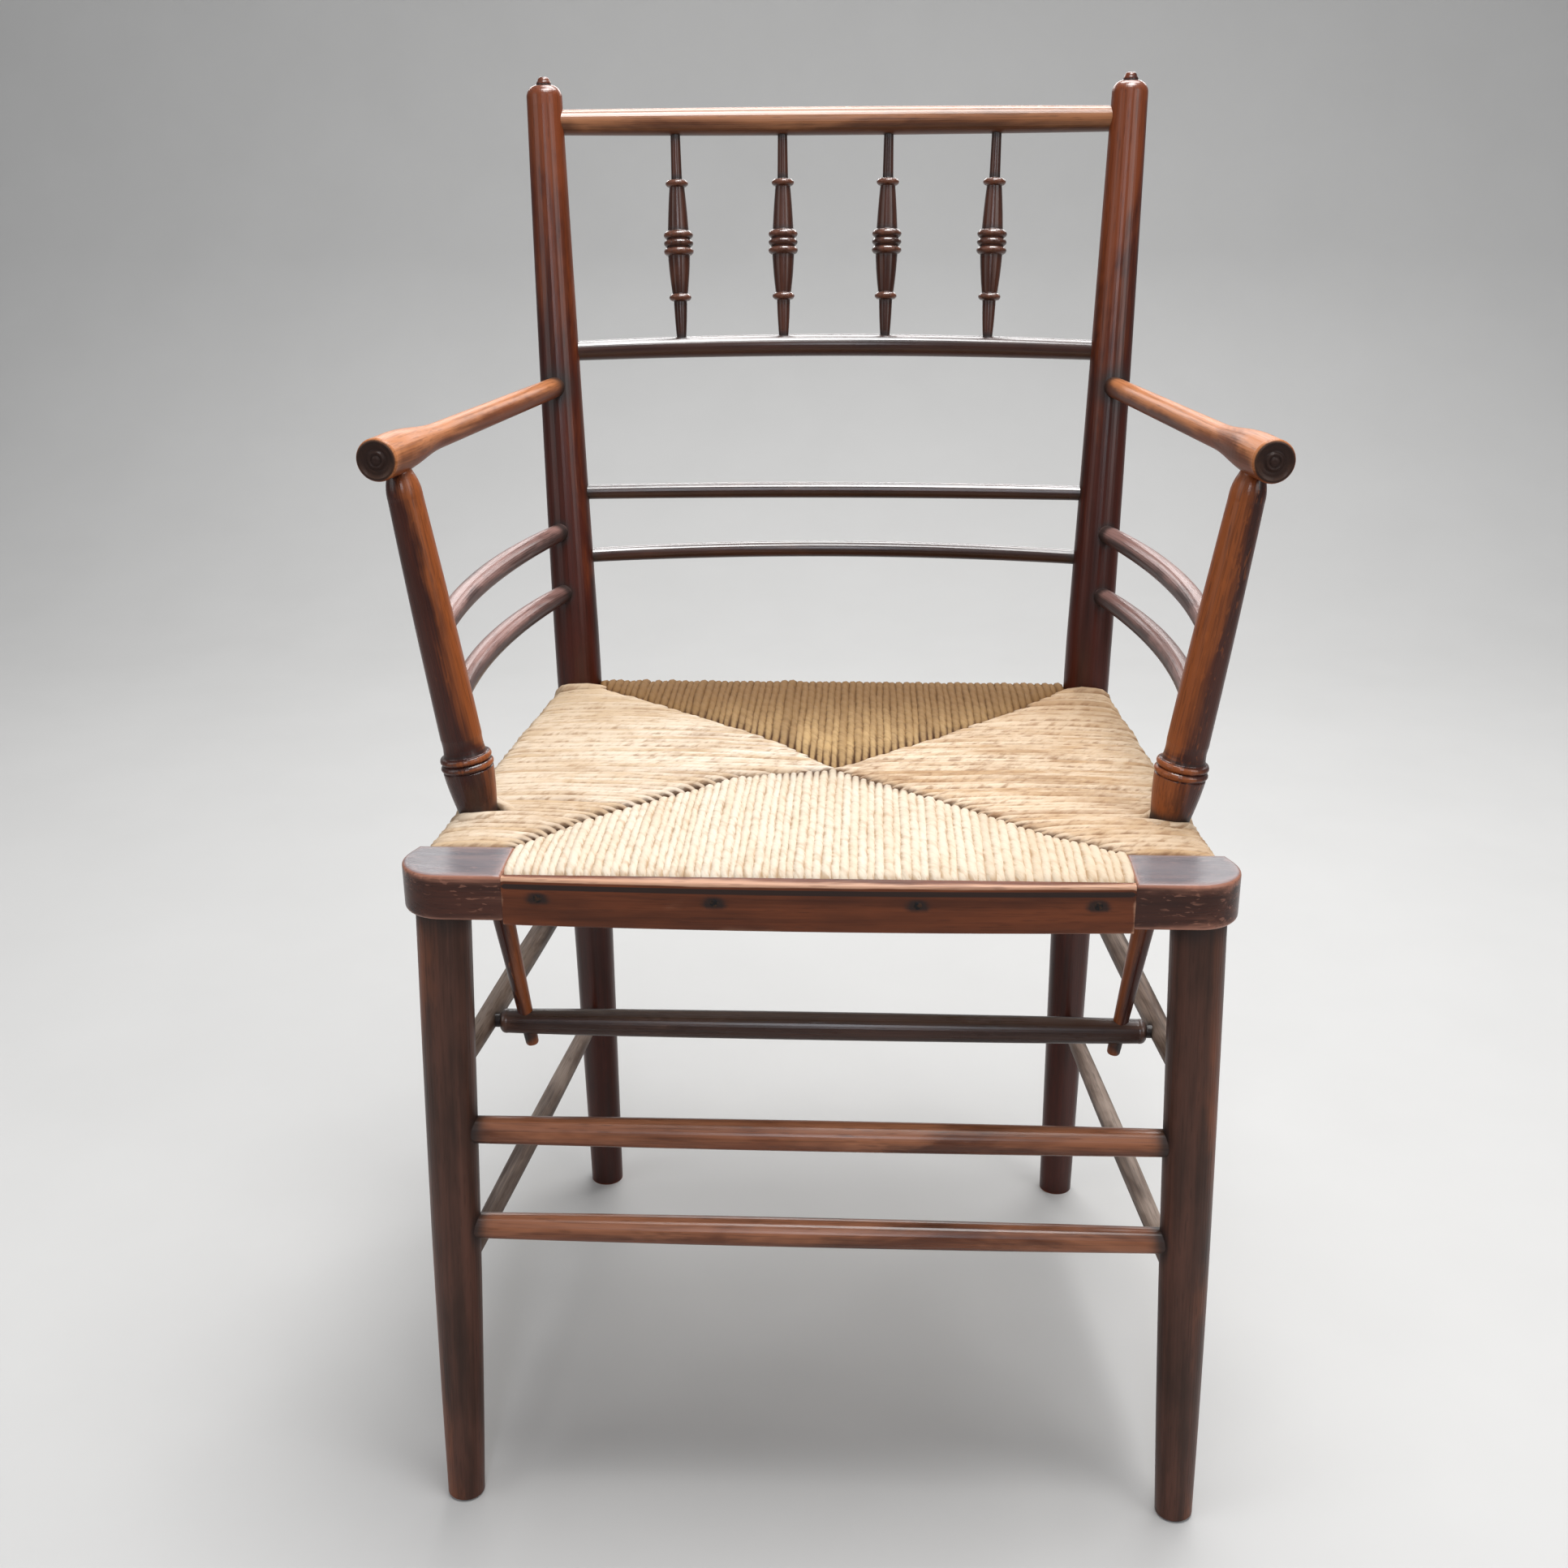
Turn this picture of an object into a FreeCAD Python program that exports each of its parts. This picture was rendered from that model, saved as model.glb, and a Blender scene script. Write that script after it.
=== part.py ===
"""Turned armchair with a rush seat, as a parametric document in millimetres.

The chair is a stick frame: turned and bent sticks whose ends sit in drilled sockets. X runs across it,
Y from front to back and Z up. The origin is on the floor, under the middle of the chair's box. Paired
pieces are made on the right (+X) and mirrored. A setback is a distance behind the corner blocks' front.
"""
import FreeCAD
import Part
import Sketcher
import math
import os

Vector = FreeCAD.Vector
UP = Vector(0, 0, 1)
ACROSS = Vector(1, 0, 0)
BACK = Vector(0, 1, 0)

SIZES = [
    # Joints
    ("socket_clearance", 0.05, "gap round a tenon in its socket"),
    ("socket_end_gap", 0.5, "room left at the bottom of a socket"),
    ("soft_clearance", 0.3, "gap between the rush and the wood"),
    ("rod_relief", 2, "straight stretch of a rod outside its socket"),
    ("rail_tenon_depth", 9, "depth of a socket in a back post"),
    ("stretcher_tenon_depth", 14, "depth of a socket in a front leg or for a stretcher"),
    # Back posts
    ("post_foot_spread", 184, "middle of the chair to a back post at the floor"),
    ("post_seat_spread", 184.6, "the same at the seat"),
    ("post_top_spread", 201.6, "the same at the shoulder"),
    ("post_foot_setback", 369, "back post at the floor"),
    ("post_seat_setback", 357.4, "back post at the seat"),
    ("post_top_setback", 429.7, "back post at the shoulder"),
    ("post_hollow", 3.6, "bow of the post above the seat"),
    ("post_bend_reach", 40, "bend of the post above and below the seat"),
    ("post_shoulder_height", 833.5, "floor to the foot of the finial"),
    ("post_low_height", 270, "floor to where the taper to the foot begins"),
    ("post_foot_dia", 25, "post at the floor"),
    ("post_low_dia", 30.5, "post where the taper begins"),
    ("post_seat_dia", 32.5, "post at the seat"),
    ("post_middle_dia", 28.3, "post at the spindle rail"),
    ("post_shoulder_dia", 24.5, "post under the finial"),
    ("finial_dome_height", 6.3, "rounded top of the post"),
    ("finial_dome_bulge", 0.9, "swell of that top"),
    ("finial_neck_dia", 11, "foot of the finial's button"),
    ("finial_button_dia", 6, "top of the finial's button"),
    ("finial_button_height", 5.7, "button above the dome"),
    ("finial_button_bulge", 1.2, "swell of the button"),
    # Back rails
    ("crest_height", 816, "floor to the crest rail"),
    ("crest_bow", 34.9, "bow of the crest rail"),
    ("crest_end_dia", 16.6, "crest rail at the posts"),
    ("crest_middle_dia", 19.2, "crest rail in the middle"),
    ("spindle_rail_height", 664, "floor to the spindle rail"),
    ("spindle_rail_bow", 38, "bow of the spindle rail"),
    ("spindle_rail_end_dia", 13.4, "spindle rail at the posts"),
    ("spindle_rail_middle_dia", 15.4, "spindle rail in the middle"),
    ("upper_rail_height", 567, "floor to the upper thin rail"),
    ("upper_rail_bow", 12, "bow of the upper thin rail"),
    ("upper_rail_end_dia", 10, "upper thin rail at the posts"),
    ("upper_rail_middle_dia", 11.3, "upper thin rail in the middle"),
    ("lower_rail_height", 522, "floor to the lower thin rail"),
    ("lower_rail_bow", 28, "bow of the lower thin rail"),
    ("lower_rail_end_dia", 10, "lower thin rail at the posts"),
    ("lower_rail_middle_dia", 11.6, "lower thin rail in the middle"),
    # Spindles
    ("spindle_head_pitch", 75.5, "from one spindle to the next, at the crest rail"),
    ("spindle_foot_pitch", 73, "the same at the spindle rail"),
    ("spindle_tenon_dia", 6.5, "spindle ends"),
    ("spindle_tenon_depth", 5, "spindle ends in the rails"),
    ("spindle_low_collar_rise", 26.2, "spindle rail to the low collar"),
    ("spindle_low_collar_dia", 15.6, "low collar"),
    ("spindle_low_neck_dia", 9, "under the low collar"),
    ("spindle_body_foot_dia", 10.8, "body above the low collar"),
    ("spindle_body_dia", 14.8, "body under the rings"),
    ("spindle_body_bulge", 0.3, "swell of the body"),
    ("spindle_ring_rise", 57, "spindle rail to the foot of the rings"),
    ("spindle_ring_height", 5.5, "each of the three rings"),
    ("spindle_ring_dia", 17.8, "between the rings"),
    ("spindle_ring_bulge", 1.5, "each ring beyond that"),
    ("spindle_cone_dia", 14, "cone above the rings"),
    ("spindle_cone_top_dia", 10, "cone under the high collar"),
    ("spindle_high_collar_rise", 104.6, "spindle rail to the high collar"),
    ("spindle_high_collar_dia", 15.8, "high collar"),
    ("spindle_collar_height", 3.4, "thickness of a collar"),
    ("spindle_collar_bulge", 1.2, "rounding of a collar's edge"),
    # Arms
    ("arm_rear_height", 641.4, "floor to the arm at the back post"),
    ("arm_front_height", 644, "floor to the arm's front face"),
    ("arm_front_spread", 241, "middle of the chair to the front face"),
    ("arm_front_setback", 72.8, "arm's front face"),
    ("arm_button_dia", 7, "button in the front face"),
    ("arm_groove_dia", 10.5, "ring groove round the button"),
    ("arm_groove_depth", 0.8, "depth of that groove"),
    ("arm_face_dia", 20.5, "flat front face"),
    ("arm_face_round", 2.2, "rounded edge of the face, along the arm"),
    ("arm_face_bulge", 0.6, "swell of that edge"),
    ("arm_hand_dia", 24, "hand end of the arm"),
    ("arm_hand_length", 30, "face to the end of the hand"),
    ("arm_taper_middle", 50, "face to the middle of the taper"),
    ("arm_taper_dia", 20, "middle of the taper"),
    ("arm_taper_bulge", 0.9, "swell and hollow of the taper"),
    ("arm_neck_length", 82, "face to the end of the taper"),
    ("arm_neck_dia", 15.2, "end of the taper"),
    ("arm_rear_dia", 13.8, "arm at the back post"),
    # Arm posts
    ("arm_post_top_setback", 99, "arm post at the arm"),
    ("arm_post_seat_spread", 204, "middle of the chair to the arm post at the seat"),
    ("arm_post_seat_setback", 96, "arm post at the seat"),
    ("arm_post_tenon_dia", 10, "tenon in the arm"),
    ("arm_post_tenon_length", 13, "tenon in the arm"),
    ("arm_post_top_dia", 15, "rounded top under the arm"),
    ("arm_post_neck_dia", 20, "below the rounded top"),
    ("arm_post_neck_length", 14, "rounded top"),
    ("arm_post_neck_bulge", 1.3, "swell of the rounded top"),
    ("arm_post_head_gap", 0.85, "rounded top to the arm, which it meets at a slant"),
    ("arm_post_tail_clearance", 0.15, "gap round the tail in its holes"),
    ("arm_post_taper_bulge", 0.5, "swell of the long taper"),
    ("arm_post_ring_foot", 28, "seat to the foot of the rings"),
    ("arm_post_ring_height", 4.5, "each of the two rings"),
    ("arm_post_ring_dia", 29.6, "between the rings"),
    ("arm_post_ring_bulge", 1.1, "each ring beyond that"),
    ("arm_post_swell_dia", 31, "under the rings"),
    ("arm_post_base_dia", 23, "at the seat"),
    ("arm_post_base_rise", 2.5, "straight stretch above the seat"),
    ("arm_post_base_sink", 2, "shoulder below the top of the rush"),
    ("arm_post_tail_dia", 17, "tail under the shoulder"),
    ("arm_post_tip_dia", 8, "tip of the tail"),
    ("arm_post_tip_proud", 7, "tip below the cross stretcher"),
    # Side rods
    ("upper_rod_height", 538, "floor to the front ends of the upper bent rods"),
    ("lower_rod_height", 495, "floor to the front ends of the lower bent rods"),
    ("rod_rise", 4, "back ends of the bent rods above their front ends"),
    ("rod_bow", 16, "bow of the bent rods"),
    ("rod_end_dia", 12, "bent rods at their ends"),
    ("rod_middle_dia", 14.6, "bent rods in the middle"),
    # Seat
    ("seat_height", 431, "floor to the top of the corner blocks"),
    ("block_thickness", 27, "corner blocks"),
    ("block_inner_spread", 172, "middle of the chair to a block's inner face"),
    ("block_width", 59.7, "corner blocks"),
    ("block_depth", 43, "corner blocks"),
    ("block_splay", 20, "degrees that the outer edge draws in towards the back"),
    ("block_corner_radius", 25, "rounded front corner"),
    ("block_edge_radius", 2, "worn edges"),
    ("strip_height", 28.5, "facing strip"),
    ("strip_drop", 1, "strip below the block tops"),
    ("strip_thickness", 5, "facing strip at its ends"),
    ("strip_bow", 4, "strip bows forward"),
    ("strip_end_gap", 0.1, "strip to block"),
    ("strip_edge_radius", 2, "worn front edges of the strip"),
    ("nail_head_dia", 5, "nails of the strip"),
    ("nail_head_height", 0.8, "nail heads"),
    ("nail_head_proud", 0.2, "nail heads in front of the strip"),
    ("nail_shank_dia", 1.8, "nails of the strip"),
    ("nail_length", 24, "nails of the strip"),
    ("nail_rise", 17, "foot of the strip to its nails"),
    ("nail_inner_spread", 55, "middle of the chair to an inner nail"),
    ("nail_outer_spread", 152, "middle of the chair to an outer nail"),
    ("seat_rail_height", 18, "hidden seat rails"),
    ("seat_tenon_dia", 10, "tenons of the seat rails"),
    ("seat_post_tenon_depth", 10, "seat rails in the back posts"),
    ("front_rail_setback", 13, "front rail's front face"),
    ("front_rail_depth", 16, "front rail"),
    ("front_rail_tenon_depth", 16, "front rail in the blocks"),
    ("back_rail_depth", 18, "back rail"),
    ("side_rail_tenon_spread", 197.5, "middle of the chair to a side rail's front tenon"),
    ("side_rail_tenon_depth", 18, "side rail in the blocks"),
    ("side_rail_front_inside", 10, "side rail inside its tenon, at the front"),
    ("side_rail_front_outside", 20, "side rail outside its tenon, at the front"),
    ("side_rail_back_inside", 9, "the same at the back post"),
    ("side_rail_back_outside", 8, "the same at the back post"),
    ("rush_thickness", 29, "rush over and under the rails"),
    ("rush_rise", 0.5, "rush above the block tops"),
    ("rush_front_spread", 225, "middle of the chair to the rush behind the blocks"),
    ("rush_back_spread", 201, "middle of the chair to the rush at the back posts"),
    ("rush_back_setback", 372, "back edge of the rush"),
    ("rush_edge_radius", 9, "rounded edges of the rush"),
    ("rush_post_gap", 0.5, "rush to back post"),
    # Base
    ("leg_foot_spread", 223, "middle of the chair to a front leg at the floor"),
    ("leg_foot_setback", 11, "front leg at the floor"),
    ("leg_top_spread", 211.3, "front leg under its block"),
    ("leg_top_setback", 26.4, "front leg under its block"),
    ("leg_middle_height", 195, "floor to the leg's middle size"),
    ("leg_foot_dia", 22.8, "front leg at the floor"),
    ("leg_middle_dia", 29.4, "front leg in the middle"),
    ("leg_top_dia", 31, "front leg under its block"),
    ("leg_tenon_dia", 16, "leg in its block"),
    ("leg_tenon_length", 16, "leg in its block"),
    ("front_upper_height", 259, "floor to the upper front stretcher"),
    ("front_upper_end_dia", 16, "upper front stretcher at the legs"),
    ("front_upper_middle_dia", 18, "upper front stretcher in the middle"),
    ("front_lower_height", 194, "floor to the lower front stretcher"),
    ("front_lower_end_dia", 15, "lower front stretcher at the legs"),
    ("front_lower_middle_dia", 17.5, "lower front stretcher in the middle"),
    ("side_upper_drop", 139, "seat height to the upper side stretchers and the cross stretcher"),
    ("side_upper_height", "=seat_height - side_upper_drop", "floor to the same"),
    ("side_upper_end_dia", 11.5, "upper side stretchers at their ends"),
    ("side_upper_middle_dia", 15, "upper side stretchers in the middle"),
    ("side_lower_height", 158, "floor to the lower side stretchers"),
    ("side_lower_end_dia", 11, "lower side stretchers at their ends"),
    ("side_lower_middle_dia", 13.5, "lower side stretchers in the middle"),
    ("cross_end_dia", 15.5, "cross stretcher at its shoulders"),
    ("cross_middle_dia", 17.5, "cross stretcher in the middle"),
    ("cross_tenon_dia", 8, "cross stretcher in the side stretchers"),
    ("cross_tenon_depth", 9, "cross stretcher in the side stretchers"),
    ("back_stretcher_height", 262, "floor to the back stretcher"),
    ("back_stretcher_end_dia", 11.5, "back stretcher at the posts"),
    ("back_stretcher_middle_dia", 15.5, "back stretcher in the middle"),
]

SPINDLE_COUNT = 4
LOFT_STEPS = 4
FLAT = 0.1

doc = FreeCAD.newDocument("armchair")
sizes = doc.addObject("Spreadsheet::Sheet", "Sizes")
for row, (alias, number, meaning) in enumerate(SIZES, start=1):
    sizes.set(f"A{row}", meaning)
    sizes.set(f"B{row}", str(number))
    sizes.setAlias(f"B{row}", alias)
doc.recompute()

subparts = {}
sockets = {}


def size(alias):
    return float(sizes.get(alias))


def value(expression):
    return float(sizes.evalExpression(expression))


def blend(low, high, share):
    return low + (high - low) * share


# Lines that the sticks follow: each gives the axis at a height, in the chair's frame.


def post_setback(height):
    """Setback of a back post: straight below the seat, leaning back in a slight hollow above it."""
    seat = size("seat_height")
    if height <= seat:
        return blend(size("post_foot_setback"), size("post_seat_setback"), height / seat)
    share = (height - seat) / (size("post_shoulder_height") - seat)
    lean = blend(size("post_seat_setback"), size("post_top_setback"), share)
    return lean - 4 * size("post_hollow") * share * (1 - share)


# The box reaches from the middle of the facing strip to the middle of the crest rail.
rearmost = post_setback(size("crest_height")) + size("crest_bow") + size("crest_middle_dia") / 2
middle_setback = (rearmost - size("strip_bow")) / 2


def point(spread, setback, height):
    return Vector(spread, setback - middle_setback, height)


def post_axis(height):
    seat = size("seat_height")
    if height <= seat:
        spread = blend(size("post_foot_spread"), size("post_seat_spread"), height / seat)
    else:
        share = (height - seat) / (size("post_shoulder_height") - seat)
        spread = blend(size("post_seat_spread"), size("post_top_spread"), share)
    return point(spread, post_setback(height), height)


def leg_axis(height):
    share = height / (size("seat_height") - size("block_thickness"))
    spread = blend(size("leg_foot_spread"), size("leg_top_spread"), share)
    return point(spread, blend(size("leg_foot_setback"), size("leg_top_setback"), share), height)


arm_front = point(size("arm_front_spread"), size("arm_front_setback"), size("arm_front_height"))
arm_rear = post_axis(size("arm_rear_height"))
arm_line = arm_rear - arm_front
arm_share = (size("arm_post_top_setback") - size("arm_front_setback")) / arm_line.y
arm_post_head = arm_front + arm_line * arm_share
arm_post_seat = point(size("arm_post_seat_spread"), size("arm_post_seat_setback"), size("seat_height"))
arm_post_line = (arm_post_head - arm_post_seat).normalize()


def arm_post_axis(height):
    return arm_post_seat + arm_post_line * ((height - arm_post_seat.z) / arm_post_line.z)


def taper(height, stations):
    """Diameter at a height between the (height, diameter) stations of a stick."""
    for (low, low_dia), (high, high_dia) in zip(stations, stations[1:]):
        if height <= high:
            return blend(low_dia, high_dia, (height - low) / (high - low))
    return stations[-1][1]


def post_dia(height):
    names = [("post_low_height", "post_low_dia"), ("seat_height", "post_seat_dia"),
             ("spindle_rail_height", "post_middle_dia"), ("post_shoulder_height", "post_shoulder_dia")]
    return taper(height, [(0, size("post_foot_dia"))] + [(size(at), size(dia)) for at, dia in names])


def leg_dia(height):
    top = size("seat_height") - size("block_thickness")
    return taper(height, [(0, size("leg_foot_dia")), (size("leg_middle_height"), size("leg_middle_dia")),
                          (top, size("leg_top_dia"))])


def arm_post_dia(height):
    rings = size("seat_height") + size("arm_post_ring_foot") + 2 * size("arm_post_ring_height")
    return taper(height, [(rings, size("arm_post_ring_dia") + 2 * size("arm_post_ring_bulge")),
                          (arm_post_head.z, size("arm_post_neck_dia"))])


# Ways of making a stick, a plate or a joint.


def keep(label, shape, mirrored=False):
    """Names a finished sub-part; a mirrored one also gives its left-hand twin."""
    if not mirrored:
        shape.Label = label
        subparts[label] = shape
        return
    twin = doc.addObject("Part::Mirroring", f"{label}_twin")
    twin.Source = shape
    twin.Normal = ACROSS
    keep(f"{label}_right", shape)
    keep(f"{label}_left", twin)


def placed(base, axis):
    return FreeCAD.Placement(base, FreeCAD.Rotation(UP, axis))


def peg(name, base, axis, dia, length):
    """Round bar from base along axis; its diameter is an expression on the sheet."""
    bar = doc.addObject("Part::Cylinder", name)
    bar.setExpression("Radius", f"({dia}) / 2")
    bar.Height = length
    bar.Placement = placed(base, axis)
    return bar


def joined(name, pieces):
    union = doc.addObject("Part::MultiFuse", name)
    union.Shapes = pieces
    return union


def carved(name, blank, tools):
    """The blank with the tools cut out of it."""
    cut = doc.addObject("Part::Cut", name)
    cut.Base = blank
    cut.Tool = tools[0] if len(tools) == 1 else joined(f"{name}_tools", tools)
    return cut


def socket(host, mouth, inward, dia, depth):
    """Drills a socket for a tenon of this diameter into the host, from its mouth inwards."""
    drilled = sockets.setdefault(host, [])
    name = f"{host}_socket_{len(drilled) + 1}"
    room = depth + size("socket_end_gap")
    drilled.append(peg(name, mouth, inward, f"{dia} + 2 * Sizes.socket_clearance", room))


def plane(body, role):
    return next(feature for feature in body.Origin.OriginFeatures if feature.Role == role)


def outline(body, role, corners):
    """Closed sketch through corners (x, y) given as expressions; a third one bulges the side that ends there.

    The bulge is to the right of the way from corner to corner; a minus sign turns it to the left.
    """
    sketch = body.newObject("Sketcher::SketchObject", f"{body.Name}_outline")
    sketch.AttachmentSupport = (plane(body, role), [""])
    sketch.MapMode = "FlatFace"
    places = [Vector(value(corner[0]), value(corner[1]), 0) for corner in corners]
    ends = []
    for index, corner in enumerate(corners):
        start, finish = places[index - 1], places[index]
        if len(corner) == 2:
            side = sketch.addGeometry(Part.LineSegment(start, finish))
        else:
            run = finish - start
            out = Vector(run.y, -run.x, 0).normalize() * value(corner[2])
            side = sketch.addGeometry(Part.Arc(start, (start + finish) / 2 + out, finish))
            rise = f"abs({corner[2]})"
            last = corners[index - 1]
            chord = f"(({corner[0]}) - ({last[0]}))^2 + (({corner[1]}) - ({last[1]}))^2"
            radius = sketch.addConstraint(
                Sketcher.Constraint("Radius", side, value(f"({chord}) / (8 * {rise}) + {rise} / 2")))
            sketch.setExpression(f"Constraints[{radius}]", f"({chord}) / (8 * {rise}) + {rise} / 2")
        drawn_start, drawn_end = sketch.getPoint(side, 1), sketch.getPoint(side, 2)
        forward = drawn_start.distanceToPoint(start) < drawn_end.distanceToPoint(start)
        ends.append((side, 1, 2) if forward else (side, 2, 1))
    for index, corner in enumerate(corners):
        side, _, tail = ends[index]
        following, head, _ = ends[(index + 1) % len(ends)]
        sketch.addConstraint(Sketcher.Constraint("Coincident", side, tail, following, head))
        for kind, axis, expression in (("DistanceX", -2, corner[0]), ("DistanceY", -1, corner[1])):
            if expression == "0":
                sketch.addConstraint(Sketcher.Constraint("PointOnObject", side, tail, axis))
                continue
            rule = sketch.addConstraint(Sketcher.Constraint(kind, -1, 1, side, tail, value(expression)))
            sketch.setExpression(f"Constraints[{rule}]", expression)
    return sketch


def turned(name, profile):
    """Body turned about Z from (height, diameter) expressions, upwards; a third one bulges the side below."""
    body = doc.addObject("PartDesign::Body", name)
    corners = [("0", "0")]
    for station in profile:
        corners.append((f"({station[1]}) / 2", station[0]) + tuple(station[2:]))
    corners.append(("0", profile[-1][0]))
    turning = body.newObject("PartDesign::Revolution", f"{name}_turning")
    turning.Profile = outline(body, "XZ_Plane", corners)
    turning.ReferenceAxis = (turning.Profile[0], ["V_Axis"])
    turning.Angle = 360
    return body


def plate(name, corners, thickness):
    """Flat body with a plan outline."""
    body = doc.addObject("PartDesign::Body", name)
    pad = body.newObject("PartDesign::Pad", f"{name}_pad")
    pad.Profile = outline(body, "XY_Plane", corners)
    pad.setExpression("Length", thickness)
    doc.recompute()
    return body, pad


def rounded(body, pad, radius, wanted):
    """Rounds the wanted edges of a plate."""
    names = [f"Edge{index}" for index, edge in enumerate(pad.Shape.Edges, start=1) if wanted(edge)]
    fillet = body.newObject("PartDesign::Fillet", f"{body.Name}_rounding")
    fillet.Base = (pad, names)
    fillet.setExpression("Radius", radius)


def drawn(name, circles):
    """Solid drawn smoothly through circles (centre, rotation, diameter expression)."""
    sections = []
    for index, (centre, rotation, dia) in enumerate(circles, start=1):
        circle = doc.addObject("Part::Circle", f"{name}_circle_{index}")
        circle.setExpression("Radius", f"({dia}) / 2")
        circle.Placement = FreeCAD.Placement(centre, rotation)
        sections.append(circle)
    solid = doc.addObject("Part::Loft", name)
    solid.Sections = sections
    solid.Solid = True
    return solid


class Bend:
    """Arc of a bent rod between two sockets, whose tenons point at the axes of the sticks that hold them."""

    def __init__(self, start, finish, bow, reach):
        chord = finish - start
        self.along = Vector(chord).normalize()
        straight = self.along.cross(UP if abs(self.along.z) < 0.5 else ACROSS)
        self.out = Vector(bow).normalize() if bow.Length else straight.normalize()
        self.turn = 2 * math.atan(bow.Length / (chord.Length / 2 + reach))
        self.inward = [self.along * -math.cos(self.turn) - self.out * math.sin(self.turn),
                       self.along * math.cos(self.turn) - self.out * math.sin(self.turn)]
        self.mouths = [start - self.inward[0] * reach, finish - self.inward[1] * reach]
        self.span = self.mouths[1].distanceToPoint(self.mouths[0])
        self.middle = (self.mouths[0] + self.mouths[1]) / 2

    def at(self, offset):
        """Point, rotation and share of the rod at an offset along the chord from its middle."""
        flat = FreeCAD.Rotation(UP, self.along)
        share = offset / self.span + 0.5
        if self.turn < 1e-6:
            return self.middle + self.along * offset, flat, share
        radius = self.span / (2 * math.sin(self.turn))
        angle = math.asin(offset / radius)
        rise = radius * (math.cos(angle) - math.cos(self.turn))
        place = self.middle + self.along * offset + self.out * rise
        tilt = FreeCAD.Rotation(self.along.cross(self.out), -math.degrees(angle))
        return place, tilt.multiply(flat), share


def swell(end, middle, share):
    """Expression for a rod's diameter, which swells from its ends to its middle."""
    return f"Sizes.{end} + (Sizes.{middle} - Sizes.{end}) * {1 - (2 * share - 1) ** 2}"


def rod(name, hosts, ends, radii, dias, depth, bow=Vector(0, 0, 0), tenon=None):
    """Rod between two host sticks: ends are points on their axes and radii their sizes there.

    dias names its end and middle diameters and tenon, where the rod has a shoulder, that of its tenons.
    """
    end, middle = dias
    tenon = tenon or end
    reach = max(radii) + size("rod_relief")
    bend = Bend(ends[0], ends[1], bow, reach)
    circles = []
    for step in range(LOFT_STEPS + 1):
        place, rotation, share = bend.at(bend.span * (step / LOFT_STEPS - 0.5))
        circles.append((place, rotation, swell(end, middle, share)))
    pieces = [drawn(f"{name}_shaft", circles)]
    for host, radius, mouth, inward in zip(hosts, radii, bend.mouths, bend.inward):
        length = reach - radius + depth
        pieces.append(peg(f"{name}_tenon_{len(pieces)}", mouth, inward, f"Sizes.{tenon}", length))
        if host:
            socket(host, mouth, inward, f"Sizes.{tenon}", length)
    return joined(f"{name}_blank", pieces), bend


def finish(label, blank, mirrored=False):
    """Cuts the sockets that other pieces asked for and keeps the piece."""
    tools = sockets.pop(label, [])
    keep(label, carved(f"{label}_cut", blank, tools) if tools else blank, mirrored)


def mirror(spot):
    return Vector(-spot.x, spot.y, spot.z)


# Crest rail, spindle rail and the two thin rails of the back, each bent back between the posts.

back_rails = {}
for label, prefix in (("crest_rail", "crest"), ("spindle_rail", "spindle_rail"),
                      ("back_rail_upper", "upper_rail"), ("back_rail_lower", "lower_rail")):
    height = size(f"{prefix}_height")
    right = post_axis(height)
    radius = post_dia(height) / 2
    back_rails[label] = rod(label, (None, "back_post"), (mirror(right), right), (radius, radius),
                            (f"{prefix}_end_dia", f"{prefix}_middle_dia"), size("rail_tenon_depth"),
                            BACK * size(f"{prefix}_bow"))

# Spindles between the crest rail and the spindle rail.

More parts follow.
